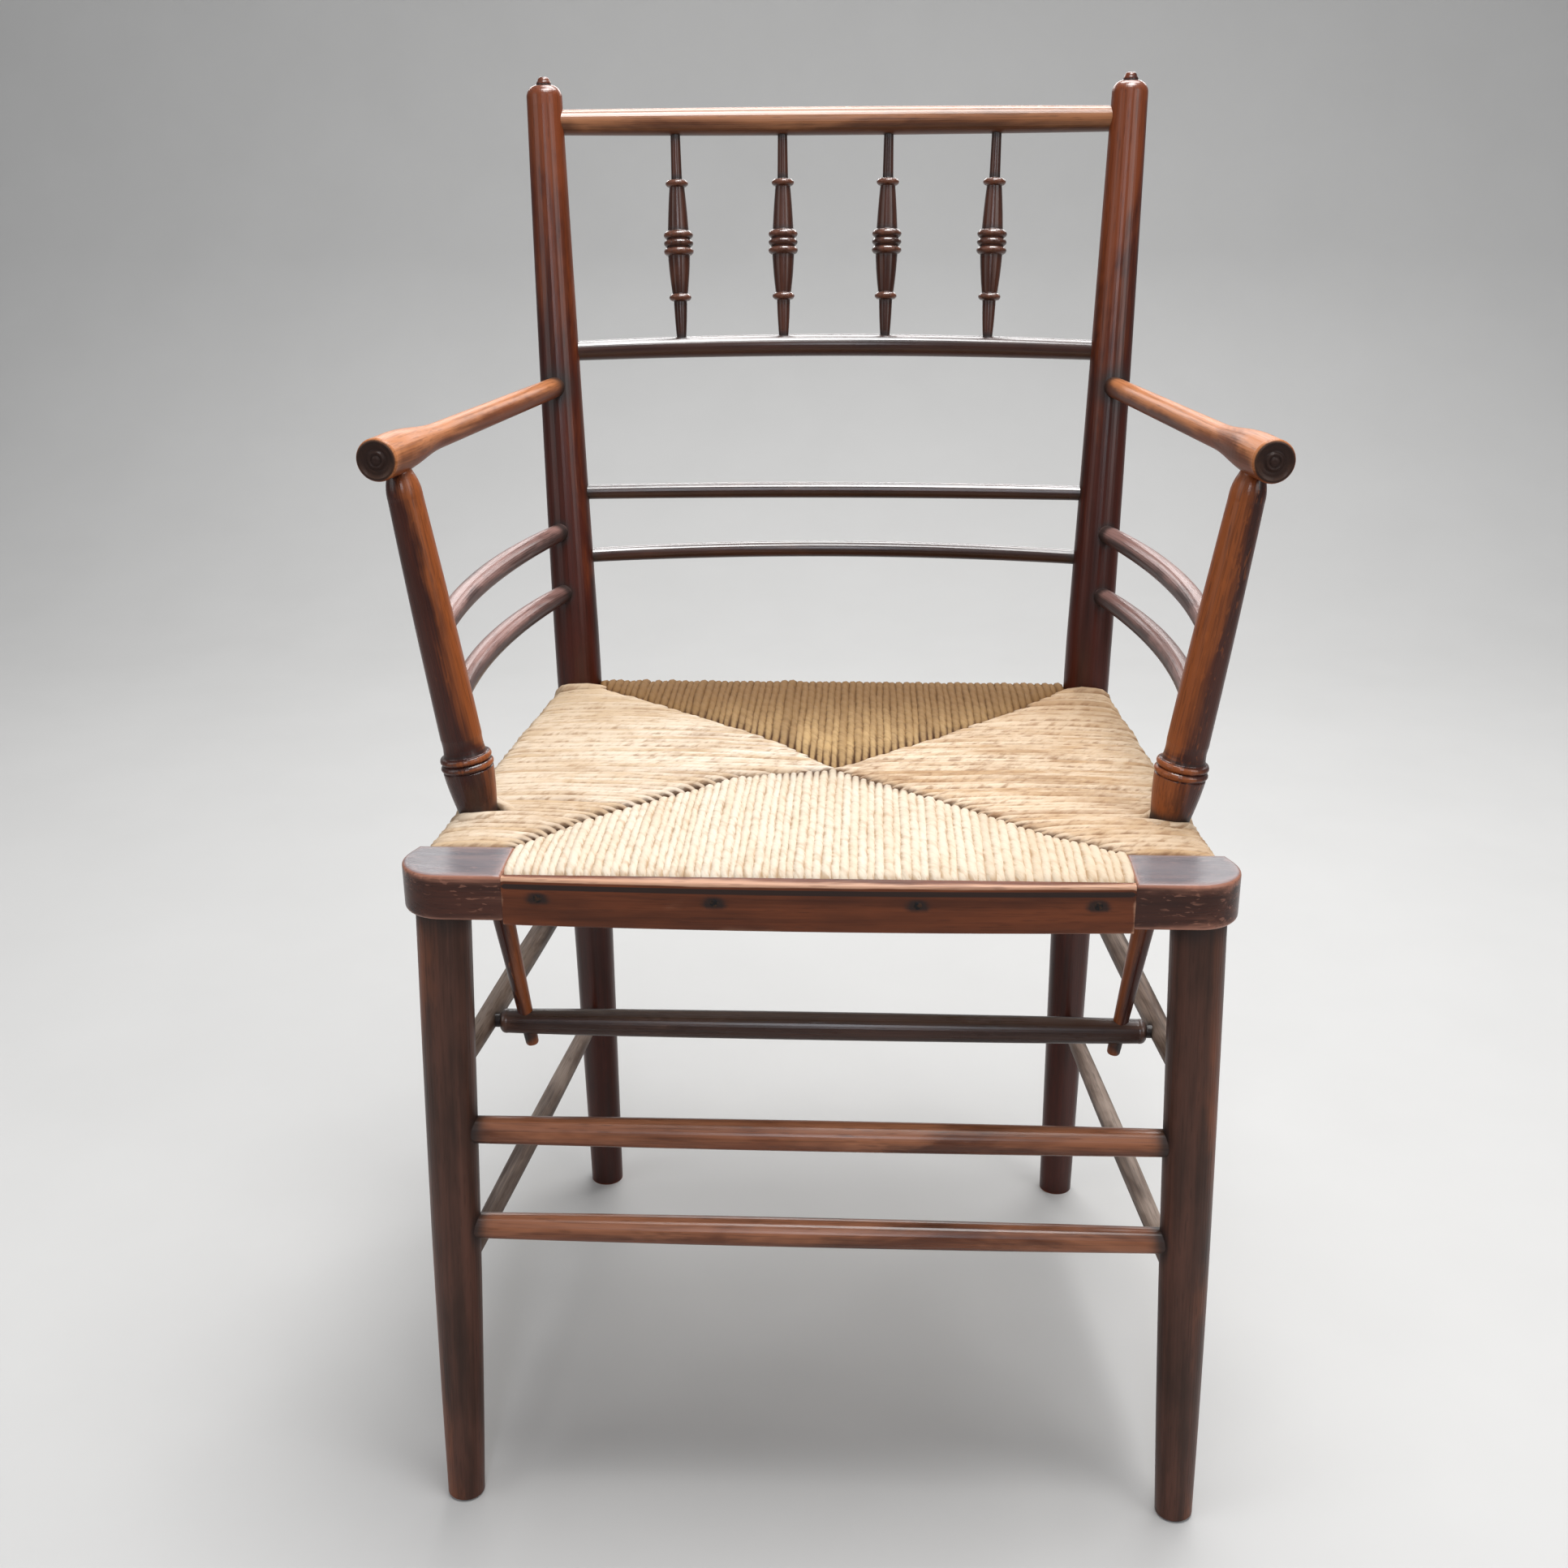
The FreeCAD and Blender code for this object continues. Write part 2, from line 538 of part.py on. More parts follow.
for number in range(SPINDLE_COUNT):
    place = number - (SPINDLE_COUNT - 1) / 2
    low, _, low_share = back_rails["spindle_rail"][1].at(place * size("spindle_foot_pitch"))
    high, _, high_share = back_rails["crest_rail"][1].at(place * size("spindle_head_pitch"))
    low_radius = value(swell("spindle_rail_end_dia", "spindle_rail_middle_dia", low_share)) / 2
    high_radius = value(swell("crest_end_dia", "crest_middle_dia", high_share)) / 2
    line = high - low
    axis = Vector(line).normalize()
    depth = size("spindle_tenon_depth")
    # Heights along the spindle are counted from its lower end, inside the spindle rail.
    foot = f"{depth - low_radius}"
    length = line.Length - low_radius - high_radius + 2 * depth
    collar = "Sizes.spindle_collar_height"
    bulge = "Sizes.spindle_collar_bulge"
    low_edge = f"Sizes.spindle_low_collar_dia - 2 * {bulge}"
    high_edge = f"Sizes.spindle_high_collar_dia - 2 * {bulge}"
    rings = f"{foot} + Sizes.spindle_ring_rise"
    ring = "Sizes.spindle_ring_height"
    low_collar = f"{foot} + Sizes.spindle_low_collar_rise"
    high_collar = f"{foot} + Sizes.spindle_high_collar_rise"
    profile = [
        ("0", "Sizes.spindle_tenon_dia"),
        (f"{2 * depth}", "Sizes.spindle_tenon_dia"),
        (low_collar, "Sizes.spindle_low_neck_dia"),
        (low_collar, low_edge),
        (f"{low_collar} + {collar}", low_edge, bulge),
        (f"{low_collar} + {collar}", "Sizes.spindle_body_foot_dia"),
        (rings, "Sizes.spindle_body_dia", "Sizes.spindle_body_bulge"),
        (rings, "Sizes.spindle_ring_dia"),
        (f"{rings} + {ring}", "Sizes.spindle_ring_dia", "Sizes.spindle_ring_bulge"),
        (f"{rings} + 2 * {ring}", "Sizes.spindle_ring_dia", "Sizes.spindle_ring_bulge"),
        (f"{rings} + 3 * {ring}", "Sizes.spindle_ring_dia", "Sizes.spindle_ring_bulge"),
        (f"{rings} + 3 * {ring}", "Sizes.spindle_cone_dia"),
        (high_collar, "Sizes.spindle_cone_top_dia"),
        (high_collar, high_edge),
        (f"{high_collar} + {collar}", high_edge, bulge),
        (f"{high_collar} + {collar}", "Sizes.spindle_tenon_dia"),
        (f"{length}", "Sizes.spindle_tenon_dia"),
    ]
    spindle = turned(f"back_spindle_{number + 1}", profile)
    spindle.Placement = placed(low + axis * (low_radius - depth), axis)
    keep(f"back_spindle_{number + 1}", spindle)
    socket("spindle_rail", low + axis * (low_radius + depth), axis * -1, "Sizes.spindle_tenon_dia", 2 * depth)
    socket("crest_rail", high - axis * (high_radius + depth), axis, "Sizes.spindle_tenon_dia", 2 * depth)

for label, (blank, _) in back_rails.items():
    finish(label, blank)

# Arms: turned sticks with a swollen hand end, whose face has a button in a ring groove.

arm_axis = Vector(arm_line).normalize()
arm_rear_radius = post_dia(size("arm_rear_height")) / 2
arm_end = arm_line.Length - arm_rear_radius + size("rail_tenon_depth")
arm_mouth = arm_line.Length - arm_rear_radius - size("rod_relief")
arm_blank = turned("arm_blank", [
    ("0", "Sizes.arm_button_dia"),
    ("Sizes.arm_groove_depth", "Sizes.arm_button_dia"),
    ("Sizes.arm_groove_depth", "Sizes.arm_groove_dia"),
    ("0", "Sizes.arm_groove_dia"),
    ("0", "Sizes.arm_face_dia"),
    ("Sizes.arm_face_round", "Sizes.arm_hand_dia", "Sizes.arm_face_bulge"),
    ("Sizes.arm_hand_length", "Sizes.arm_hand_dia"),
    ("Sizes.arm_taper_middle", "Sizes.arm_taper_dia", "Sizes.arm_taper_bulge"),
    ("Sizes.arm_neck_length", "Sizes.arm_neck_dia", "-Sizes.arm_taper_bulge"),
    (f"{arm_mouth}", "Sizes.arm_rear_dia"),
    (f"{arm_end}", "Sizes.arm_rear_dia"),
])
arm_blank.Placement = placed(arm_front, arm_axis)
socket("back_post", arm_front + arm_axis * arm_mouth, arm_axis, "Sizes.arm_rear_dia", arm_end - arm_mouth)

# Arm posts: one stick each, from the arm through the seat to below the cross stretcher.

arm_post_rise = (arm_post_head - arm_post_seat).Length - size("arm_hand_dia") / 2
cross_height = size("side_upper_height")
cross_fall = (arm_post_seat - arm_post_axis(cross_height)).Length
arm_post_fall = cross_fall + size("cross_middle_dia") / 2 + size("arm_post_tip_proud")
seat_level = f"{arm_post_fall}"
head_level = f"{arm_post_fall + arm_post_rise} - Sizes.arm_post_head_gap"
rings = f"{seat_level} + Sizes.arm_post_ring_foot"
ring = "Sizes.arm_post_ring_height"
base = f"{seat_level} - Sizes.arm_post_base_sink"
arm_post_blank = turned("arm_post_blank", [
    ("0", "Sizes.arm_post_tip_dia"),
    (base, "Sizes.arm_post_tail_dia"),
    (base, "Sizes.arm_post_base_dia"),
    (f"{seat_level} + Sizes.arm_post_base_rise", "Sizes.arm_post_base_dia"),
    (rings, "Sizes.arm_post_swell_dia"),
    (rings, "Sizes.arm_post_ring_dia"),
    (f"{rings} + {ring}", "Sizes.arm_post_ring_dia", "Sizes.arm_post_ring_bulge"),
    (f"{rings} + 2 * {ring}", "Sizes.arm_post_ring_dia", "Sizes.arm_post_ring_bulge"),
    (f"{head_level} - Sizes.arm_post_neck_length", "Sizes.arm_post_neck_dia", "Sizes.arm_post_taper_bulge"),
    (head_level, "Sizes.arm_post_top_dia", "Sizes.arm_post_neck_bulge"),
    (head_level, "Sizes.arm_post_tenon_dia"),
    (f"{head_level} + Sizes.arm_post_tenon_length", "Sizes.arm_post_tenon_dia"),
])
arm_post_tip = arm_post_seat - arm_post_line * arm_post_fall
arm_post_blank.Placement = placed(arm_post_tip, arm_post_line)
socket("arm", arm_post_tip + arm_post_line * value(head_level), arm_post_line, "Sizes.arm_post_tenon_dia",
       size("arm_post_tenon_length"))
finish("arm", arm_blank, mirrored=True)


def tail_hole(name):
    """Tapered hole for the tail of an arm post."""
    hole = doc.addObject("Part::Cone", name)
    hole.setExpression("Radius1", "Sizes.arm_post_tip_dia / 2 + Sizes.arm_post_tail_clearance")
    hole.setExpression("Radius2", "Sizes.arm_post_tail_dia / 2 + Sizes.arm_post_tail_clearance")
    hole.setExpression("Height", base)
    hole.Placement = placed(arm_post_tip, arm_post_line)
    return hole


# Bent rods between the arm posts and the back posts, bowed outwards.

for label, level in (("side_rod_upper", "upper_rod_height"), ("side_rod_lower", "lower_rod_height")):
    height = size(level)
    front = arm_post_axis(height)
    rear_height = height + size("rod_rise")
    rear = post_axis(rear_height)
    outwards = (rear - front).cross(UP).normalize()
    blank, _ = rod(label, ("arm_post", "back_post"), (front, rear),
                   (arm_post_dia(height) / 2, post_dia(rear_height) / 2), ("rod_end_dia", "rod_middle_dia"),
                   size("rail_tenon_depth"), outwards * size("rod_bow"))
    keep(label, blank, mirrored=True)
finish("arm_post", arm_post_blank, mirrored=True)

# Corner blocks, with their front outer corner rounded, and the rails of the seat.

block_foot = size("seat_height") - size("block_thickness")
corner = "Sizes.block_corner_radius"
splay = "Sizes.block_splay"
splay_start = f"{corner} * (1 + sin({splay}))"
splay_width = f"Sizes.block_width - {corner} * (1 - cos({splay}))"
block_blank, block_pad = plate("block_blank", [
    ("0", "0"),
    (f"Sizes.block_width - {corner}", "0"),
    (splay_width, splay_start, f"{corner} * (1 - cos(45 + {splay} / 2))"),
    (f"{splay_width} - (Sizes.block_depth - {splay_start}) * tan({splay})", "Sizes.block_depth"),
    ("0", "Sizes.block_depth"),
], "Sizes.block_thickness")


def block_rim(edge):
    """Front and rounded edges of a block, at the top and the bottom."""
    box = edge.BoundBox
    return box.ZLength < FLAT and box.XMax > FLAT and box.YMin < size("block_corner_radius")


rounded(block_blank, block_pad, "Sizes.block_edge_radius", block_rim)
block_blank.Placement.Base = point(size("block_inner_spread"), 0, block_foot)

rail_level = size("seat_height") - size("block_thickness") / 2
rail_foot = rail_level - size("seat_rail_height") / 2
tenon_dia = "Sizes.seat_tenon_dia"


def bar(name, half_length, setback, depth_alias, room):
    """Square bar across the chair, grown by room all round."""
    box = doc.addObject("Part::Box", name)
    box.Length = 2 * half_length
    box.setExpression("Width", f"Sizes.{depth_alias} + 2 * {room}")
    box.setExpression("Height", f"Sizes.seat_rail_height + 2 * {room}")
    box.Placement.Base = point(-half_length, setback, rail_foot) - (BACK + UP) * value(room)
    return box


front_half = size("block_inner_spread") - size("strip_end_gap")
front_middle = size("front_rail_setback") + size("front_rail_depth") / 2
front_pieces = [bar("front_rail_bar", front_half, size("front_rail_setback"), "front_rail_depth", "0")]
for side in (-1, 1):
    end = point(side * front_half, front_middle, rail_level)
    front_pieces.append(peg(f"front_rail_tenon_{len(front_pieces)}", end, ACROSS * side, tenon_dia,
                            size("front_rail_tenon_depth")))
socket("corner_block", end, ACROSS, tenon_dia, size("front_rail_tenon_depth"))

post_seat = post_axis(rail_level)
post_seat_radius = size("post_seat_dia") / 2
back_half = post_seat.x - post_seat_radius - size("rush_post_gap")
back_setback = size("post_seat_setback") - size("back_rail_depth") / 2
back_pieces = [bar("back_rail_bar", back_half, back_setback, "back_rail_depth", "0")]
for side in (-1, 1):
    end = Vector(side * back_half, post_seat.y, rail_level)
    back_pieces.append(peg(f"back_rail_tenon_{len(back_pieces)}", end, ACROSS * side, tenon_dia,
                           size("seat_post_tenon_depth")))
socket("back_post", end, ACROSS, tenon_dia, size("seat_post_tenon_depth"))
keep("seat_back_rail", joined("seat_back_rail_blank", back_pieces))

side_front = point(size("side_rail_tenon_spread"), size("block_depth") + size("strip_end_gap"), rail_level)
side_line = (post_seat - side_front).normalize()
side_rear = post_seat - side_line * (post_seat_radius + size("rush_post_gap"))


def side_bar(name, room, overrun):
    """Tapered flat rail between block and back post, grown by room and lengthened by overrun."""
    run = side_rear.y - side_front.y
    inside = side_front.x - size("side_rail_front_inside"), side_rear.x - size("side_rail_back_inside")
    outside = side_front.x + size("side_rail_front_outside"), side_rear.x + size("side_rail_back_outside")
    corners = []
    for edge, side in ((inside, -1), (outside, 1)):
        for share in (-overrun / run, 1 + overrun / run):
            across = blend(edge[0], edge[1], share)
            corners.append((f"{across} + {side} * {room}", f"{share * run + overrun}"))
    corners = [corners[0], corners[2], corners[3], corners[1]]
    plan = [(across, "0" if index < 2 else along) for index, (across, along) in enumerate(corners)]
    body, _ = plate(name, plan, f"Sizes.seat_rail_height + 2 * {room}")
    body.Placement.Base = Vector(0, side_front.y - overrun, rail_foot - value(room))
    return body


side_pieces = [
    side_bar("side_rail_bar", "0", 0),
    peg("side_rail_tenon_1", side_front, BACK * -1, tenon_dia, size("side_rail_tenon_depth")),
    peg("side_rail_tenon_2", side_rear, side_line, tenon_dia, size("seat_post_tenon_depth")),
]
socket("corner_block", side_front, BACK * -1, tenon_dia, size("side_rail_tenon_depth"))
socket("back_post", side_rear, side_line, tenon_dia, size("seat_post_tenon_depth"))
side_blank = joined("side_rail_blank", side_pieces)
keep("seat_side_rail", carved("side_rail_bored", side_blank, [tail_hole("side_rail_hole")]), mirrored=True)

# Facing strip, bowed forward between the blocks, and the nails that hold it to the front rail.

strip_foot = size("seat_height") - size("strip_drop") - size("strip_height")
strip_length = "2 * (Sizes.block_inner_spread - Sizes.strip_end_gap)"
strip_blank, strip_pad = plate("strip_blank", [
    ("0", "Sizes.strip_bow"),
    (strip_length, "Sizes.strip_bow", "Sizes.strip_bow"),
    (strip_length, "Sizes.strip_bow + Sizes.strip_thickness"),
    ("0", "Sizes.strip_bow + Sizes.strip_thickness"),
], "Sizes.strip_height")
rounded(strip_blank, strip_pad, "Sizes.strip_edge_radius",
        lambda edge: edge.BoundBox.ZLength < FLAT and edge.BoundBox.YMin < FLAT)
strip_blank.Placement.Base = point(-front_half, -size("strip_bow"), strip_foot)
strip_radius = front_half ** 2 / (2 * size("strip_bow")) + size("strip_bow") / 2

nails = []
nail_level = strip_foot + size("nail_rise")
nail_rooms = []
for spread in ("nail_inner_spread", "nail_outer_spread"):
    for side in (-1, 1):
        number = len(nails) + 1
        across = side * size(spread)
        dip = strip_radius - math.sqrt(strip_radius ** 2 - across ** 2)
        front = point(across, dip - size("strip_bow") - size("nail_head_proud"), nail_level)
        head = peg(f"nail_head_{number}", front, BACK, "Sizes.nail_head_dia", size("nail_head_height"))
        shank = peg(f"nail_shank_{number}", front, BACK, "Sizes.nail_shank_dia", size("nail_length"))
        nails.append(joined(f"nail_{number}", [head, shank]))
        grip = "2 * Sizes.socket_clearance"
        head_room = peg(f"nail_head_room_{number}", front, BACK, f"Sizes.nail_head_dia + {grip}",
                        size("nail_head_height") + size("socket_clearance"))
        shank_room = peg(f"nail_room_{number}", front, BACK, f"Sizes.nail_shank_dia + {grip}",
                         size("nail_length") + size("socket_end_gap"))
        nail_rooms.append((head_room, shank_room))
strip_tools = [tool for pair in nail_rooms for tool in pair]
keep("front_strip", carved("front_strip_bored", strip_blank, strip_tools))
front_blank = joined("front_rail_blank", front_pieces)
keep("seat_front_rail", carved("front_rail_bored", front_blank, [shank for _, shank in nail_rooms]))
nail_set = doc.addObject("Part::Compound", "nail_set")
nail_set.Links = nails
keep("strip_nails", nail_set)

# Rush, wound over the four rails and notched round the blocks, the back posts and the arm posts.

soft = "Sizes.soft_clearance"
middle = "Sizes.rush_front_spread"
inner = f"(Sizes.block_inner_spread - {soft})"
notch = "(Sizes.post_seat_spread - Sizes.post_seat_dia / 2 - Sizes.rush_post_gap)"
rush_front = f"Sizes.strip_thickness + {soft}"
rush_block = f"Sizes.block_depth + {soft}"
rush_post = "Sizes.post_seat_setback - Sizes.post_seat_dia / 2 - Sizes.rush_post_gap"
rush_blank, rush_pad = plate("rush_blank", [
    (f"{middle} - {inner}", rush_front),
    (f"{middle} + {inner}", rush_front),
    (f"{middle} + {inner}", rush_block),
    (f"2 * {middle}", rush_block),
    (f"{middle} + Sizes.rush_back_spread", rush_post),
    (f"{middle} + {notch}", rush_post),
    (f"{middle} + {notch}", "Sizes.rush_back_setback"),
    (f"{middle} - {notch}", "Sizes.rush_back_setback"),
    (f"{middle} - {notch}", rush_post),
    (f"{middle} - Sizes.rush_back_spread", rush_post),
    ("0", rush_block),
    (f"{middle} - {inner}", rush_block),
], "Sizes.rush_thickness")
rush_back = value("Sizes.rush_back_setback")


def rush_rim(edge):
    """Side and back edges of the rush, at the top and the bottom."""
    box = edge.BoundBox
    return box.ZLength < FLAT and (box.YLength > size("block_depth") or box.YMin > rush_back - FLAT)


rounded(rush_blank, rush_pad, "Sizes.rush_edge_radius", rush_rim)
rush_blank.Placement.Base = point(-size("rush_front_spread"), 0,
                                  size("seat_height") + size("rush_rise") - size("rush_thickness"))
side_room = side_bar("side_rail_room", soft, size("block_depth") / 2)
side_room_twin = doc.addObject("Part::Mirroring", "side_room_twin")
side_room_twin.Source = side_room
side_room_twin.Normal = ACROSS
arm_room_reach = 2 * size("rush_thickness")
arm_room = peg("arm_post_room", arm_post_seat - arm_post_line * arm_room_reach, arm_post_line,
               f"Sizes.arm_post_base_dia + 2 * {soft}", 2 * arm_room_reach)
arm_room_twin = doc.addObject("Part::Mirroring", "arm_room_twin")
arm_room_twin.Source = arm_room
arm_room_twin.Normal = ACROSS
nail_sleeves = []
for number, (_, shank) in enumerate(nail_rooms, start=1):
    nail_sleeves.append(peg(f"nail_sleeve_{number}", shank.Placement.Base, BACK,
                            f"Sizes.nail_shank_dia + 2 * {soft}", size("nail_length")))
keep("rush_seat", carved("rush_carved", rush_blank, [
    bar("front_rail_room", size("block_inner_spread"), size("front_rail_setback"), "front_rail_depth", soft),
    bar("back_rail_room", size("post_seat_spread"), back_setback, "back_rail_depth", soft),
    side_room, side_room_twin, arm_room, arm_room_twin] + nail_sleeves))

# Front legs: tapered sticks under the blocks.

leg_blank = joined("leg_blank", [
    drawn("leg_shaft", [
        (leg_axis(0), FreeCAD.Rotation(), "Sizes.leg_foot_dia"),
        (leg_axis(size("leg_middle_height")), FreeCAD.Rotation(), "Sizes.leg_middle_dia"),
        (leg_axis(block_foot), FreeCAD.Rotation(), "Sizes.leg_top_dia"),
    ]),
    peg("leg_tenon", leg_axis(block_foot), UP, "Sizes.leg_tenon_dia", size("leg_tenon_length")),
])
socket("corner_block", leg_axis(block_foot), UP, "Sizes.leg_tenon_dia", size("leg_tenon_length"))
finish("corner_block", block_blank, mirrored=True)

# Stretchers: two across the front, two on each side, one across the sides and one at the back.

stretcher_depth = size("stretcher_tenon_depth")
for label, prefix in (("front_stretcher_upper", "front_upper"), ("front_stretcher_lower", "front_lower")):
    right = leg_axis(size(f"{prefix}_height"))
    radius = leg_dia(right.z) / 2
    blank, _ = rod(label, (None, "front_leg"), (mirror(right), right), (radius, radius),
                   (f"{prefix}_end_dia", f"{prefix}_middle_dia"), stretcher_depth)
    keep(label, blank)

side_bends = {}
for label, prefix in (("side_stretcher_upper", "side_upper"), ("side_stretcher_lower", "side_lower")):
    height = size(f"{prefix}_height")
    side_bends[label] = rod(label, ("front_leg", "back_post"), (leg_axis(height), post_axis(height)),
                            (leg_dia(height) / 2, post_dia(height) / 2),
                            (f"{prefix}_end_dia", f"{prefix}_middle_dia"), stretcher_depth)
finish("front_leg", leg_blank, mirrored=True)

right = post_axis(size("back_stretcher_height"))
radius = post_dia(right.z) / 2
blank, _ = rod("back_stretcher", (None, "back_post"), (mirror(right), right), (radius, radius),
               ("back_stretcher_end_dia", "back_stretcher_middle_dia"), stretcher_depth)
keep("back_stretcher", blank)

side_blank, side_bend = side_bends["side_stretcher_upper"]
cross_setback = arm_post_axis(cross_height).y
offset = (cross_setback - side_bend.middle.y) / side_bend.along.y
cross_right, _, share = side_bend.at(offset)
cross_radius = value(swell("side_upper_end_dia", "side_upper_middle_dia", share)) / 2
cross_blank, _ = rod("cross_stretcher", (None, "side_stretcher_upper"), (mirror(cross_right), cross_right),
                     (cross_radius, cross_radius), ("cross_end_dia", "cross_middle_dia"),
                     size("cross_tenon_depth"), tenon="cross_tenon_dia")
tail_right = tail_hole("cross_tail_right")
tail_left = doc.addObject("Part::Mirroring", "cross_tail_left")
tail_left.Source = tail_right
tail_left.Normal = ACROSS
keep("cross_stretcher", carved("cross_bored", cross_blank, [tail_right, tail_left]))
finish("side_stretcher_upper", side_blank, mirrored=True)
finish("side_stretcher_lower", side_bends["side_stretcher_lower"][0], mirrored=True)

# Back posts: bent at the seat and topped by a small turned finial.

shoulder = size("post_shoulder_height")
seat = size("seat_height")
bend_reach = size("post_bend_reach")
post_shaft = drawn("post_shaft", [
    (post_axis(height), FreeCAD.Rotation(), dia) for height, dia in (
        (0, "Sizes.post_foot_dia"),
        (size("post_low_height"), "Sizes.post_low_dia"),
        (seat - bend_reach, "Sizes.post_seat_dia"),
        (seat + bend_reach, "Sizes.post_seat_dia"),
        (size("upper_rail_height"), f"{post_dia(size('upper_rail_height'))}"),
        (size("spindle_rail_height"), "Sizes.post_middle_dia"),
        (shoulder, "Sizes.post_shoulder_dia"))])
dome = "Sizes.finial_dome_height"
finial = turned("finial", [
    ("0", "Sizes.post_shoulder_dia"),
    (dome, "Sizes.finial_neck_dia", "Sizes.finial_dome_bulge"),
    (f"{dome} + Sizes.finial_button_height", "Sizes.finial_button_dia", "Sizes.finial_button_bulge"),
])
finial.Placement.Base = post_axis(shoulder)
finish("back_post", joined("post_blank", [post_shaft, finial]), mirrored=True)

# Every object and sub-part is tested before the shapes are written.

doc.recompute()
for item in doc.Objects:
    if "Invalid" in item.State or "Error" in item.State:
        raise RuntimeError(f"{item.Label} failed: {item.State}")
if sockets:
    raise RuntimeError(f"sockets without a host: {sorted(sockets)}")
for label, shape in subparts.items():
    solids = len(nails) if label == "strip_nails" else 1
    if shape.Shape.isNull() or not shape.Shape.isValid() or len(shape.Shape.Solids) != solids:
        raise RuntimeError(f"{label} is not {solids} valid solid(s)")

os.makedirs("parts", exist_ok=True)
for label, shape in subparts.items():
    shape.Shape.exportStep(f"parts/{label}.step")
print(f"{len(subparts)} sub-parts written")
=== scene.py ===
import math

import bmesh
import bpy
import numpy as np
from mathutils import Matrix, Vector
from numpy.linalg import norm


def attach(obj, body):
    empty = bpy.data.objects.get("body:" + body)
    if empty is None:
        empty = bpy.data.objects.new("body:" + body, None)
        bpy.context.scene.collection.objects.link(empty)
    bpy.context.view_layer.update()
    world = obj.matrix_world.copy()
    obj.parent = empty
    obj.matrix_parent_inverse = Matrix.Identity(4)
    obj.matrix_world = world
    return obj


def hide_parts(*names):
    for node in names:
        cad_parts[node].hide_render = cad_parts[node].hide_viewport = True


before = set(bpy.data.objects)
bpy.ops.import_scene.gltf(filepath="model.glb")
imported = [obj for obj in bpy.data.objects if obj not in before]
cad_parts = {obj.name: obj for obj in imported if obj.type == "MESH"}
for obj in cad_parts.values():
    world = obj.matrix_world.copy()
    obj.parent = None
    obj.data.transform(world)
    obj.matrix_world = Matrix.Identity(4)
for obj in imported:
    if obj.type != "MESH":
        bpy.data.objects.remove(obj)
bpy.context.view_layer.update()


# Back posts: two beech sticks turned to a slow taper, steamed and bent backwards above the seat, and
# stained a dark red-brown. Each ends in a small turned finial, and all rails of the back are socketed
# into them.

SEAT_HEIGHT = 431.0
MIDDLE_SETBACK = 233.23
LEFT = np.array((-1.0, 1.0, 1.0))
SIDES = (("left", LEFT), ("right", np.ones(3)))


def spot(spread, setback, height):
    """A place on the chair in millimetres; setback is counted from the front of the corner blocks."""
    return np.array((spread, setback - MIDDLE_SETBACK, height), float)


def outline(cuts, ease=0.4, round_steps=9, plain_step=5.0):
    """A turner's outline from cuts of distance, diameter and, for a rounded run, its swell; corners are
    eased, rounded runs have round_steps and plain ones a step about every plain_step millimetres."""
    points = [np.array((cuts[0][0], cuts[0][1] / 2.0))]
    for distance, diameter, *swell in cuts[1:]:
        begin = points[-1]
        run = np.array((distance, diameter / 2.0)) - begin
        out = np.array((-run[1], run[0])) / np.hypot(*run)
        steps = round_steps if swell else max(1, int(np.hypot(*run) // plain_step))
        for share in np.arange(1, steps + 1) / steps:
            rise = swell[0] * (1.0 - (2.0 * share - 1.0) ** 2) if swell else 0.0
            points.append(begin + share * run + rise * out)
    eased = [points[0]]
    for before, corner, after in zip(points, points[1:], points[2:]):
        back, ahead = before - corner, after - corner
        back_length, ahead_length = np.hypot(*back), np.hypot(*ahead)
        if np.dot(back, ahead) > -0.92 * back_length * ahead_length:
            cut = min(ease, back_length / 3.0, ahead_length / 3.0)
            near = corner + back / back_length * cut
            far = corner + ahead / ahead_length * cut
            eased += [near, 0.25 * near + 0.5 * corner + 0.25 * far, far]
        else:
            eased.append(corner)
    return eased + [points[-1]]


def turned(foot, head, cuts):
    """A straight turned stick's rows of place, radius and direction, from foot towards head."""
    axis = (head - foot) / norm(head - foot)
    return [(foot + axis * distance, radius, axis) for distance, radius in outline(cuts)]


def swept(places, diameters):
    """A bent stick's rows of place, radius and direction."""
    directions = np.gradient(places, axis=0)
    directions /= norm(directions, axis=1)[:, None]
    return [(place, diameter / 2.0, axis) for place, diameter, axis in zip(places, diameters, directions)]


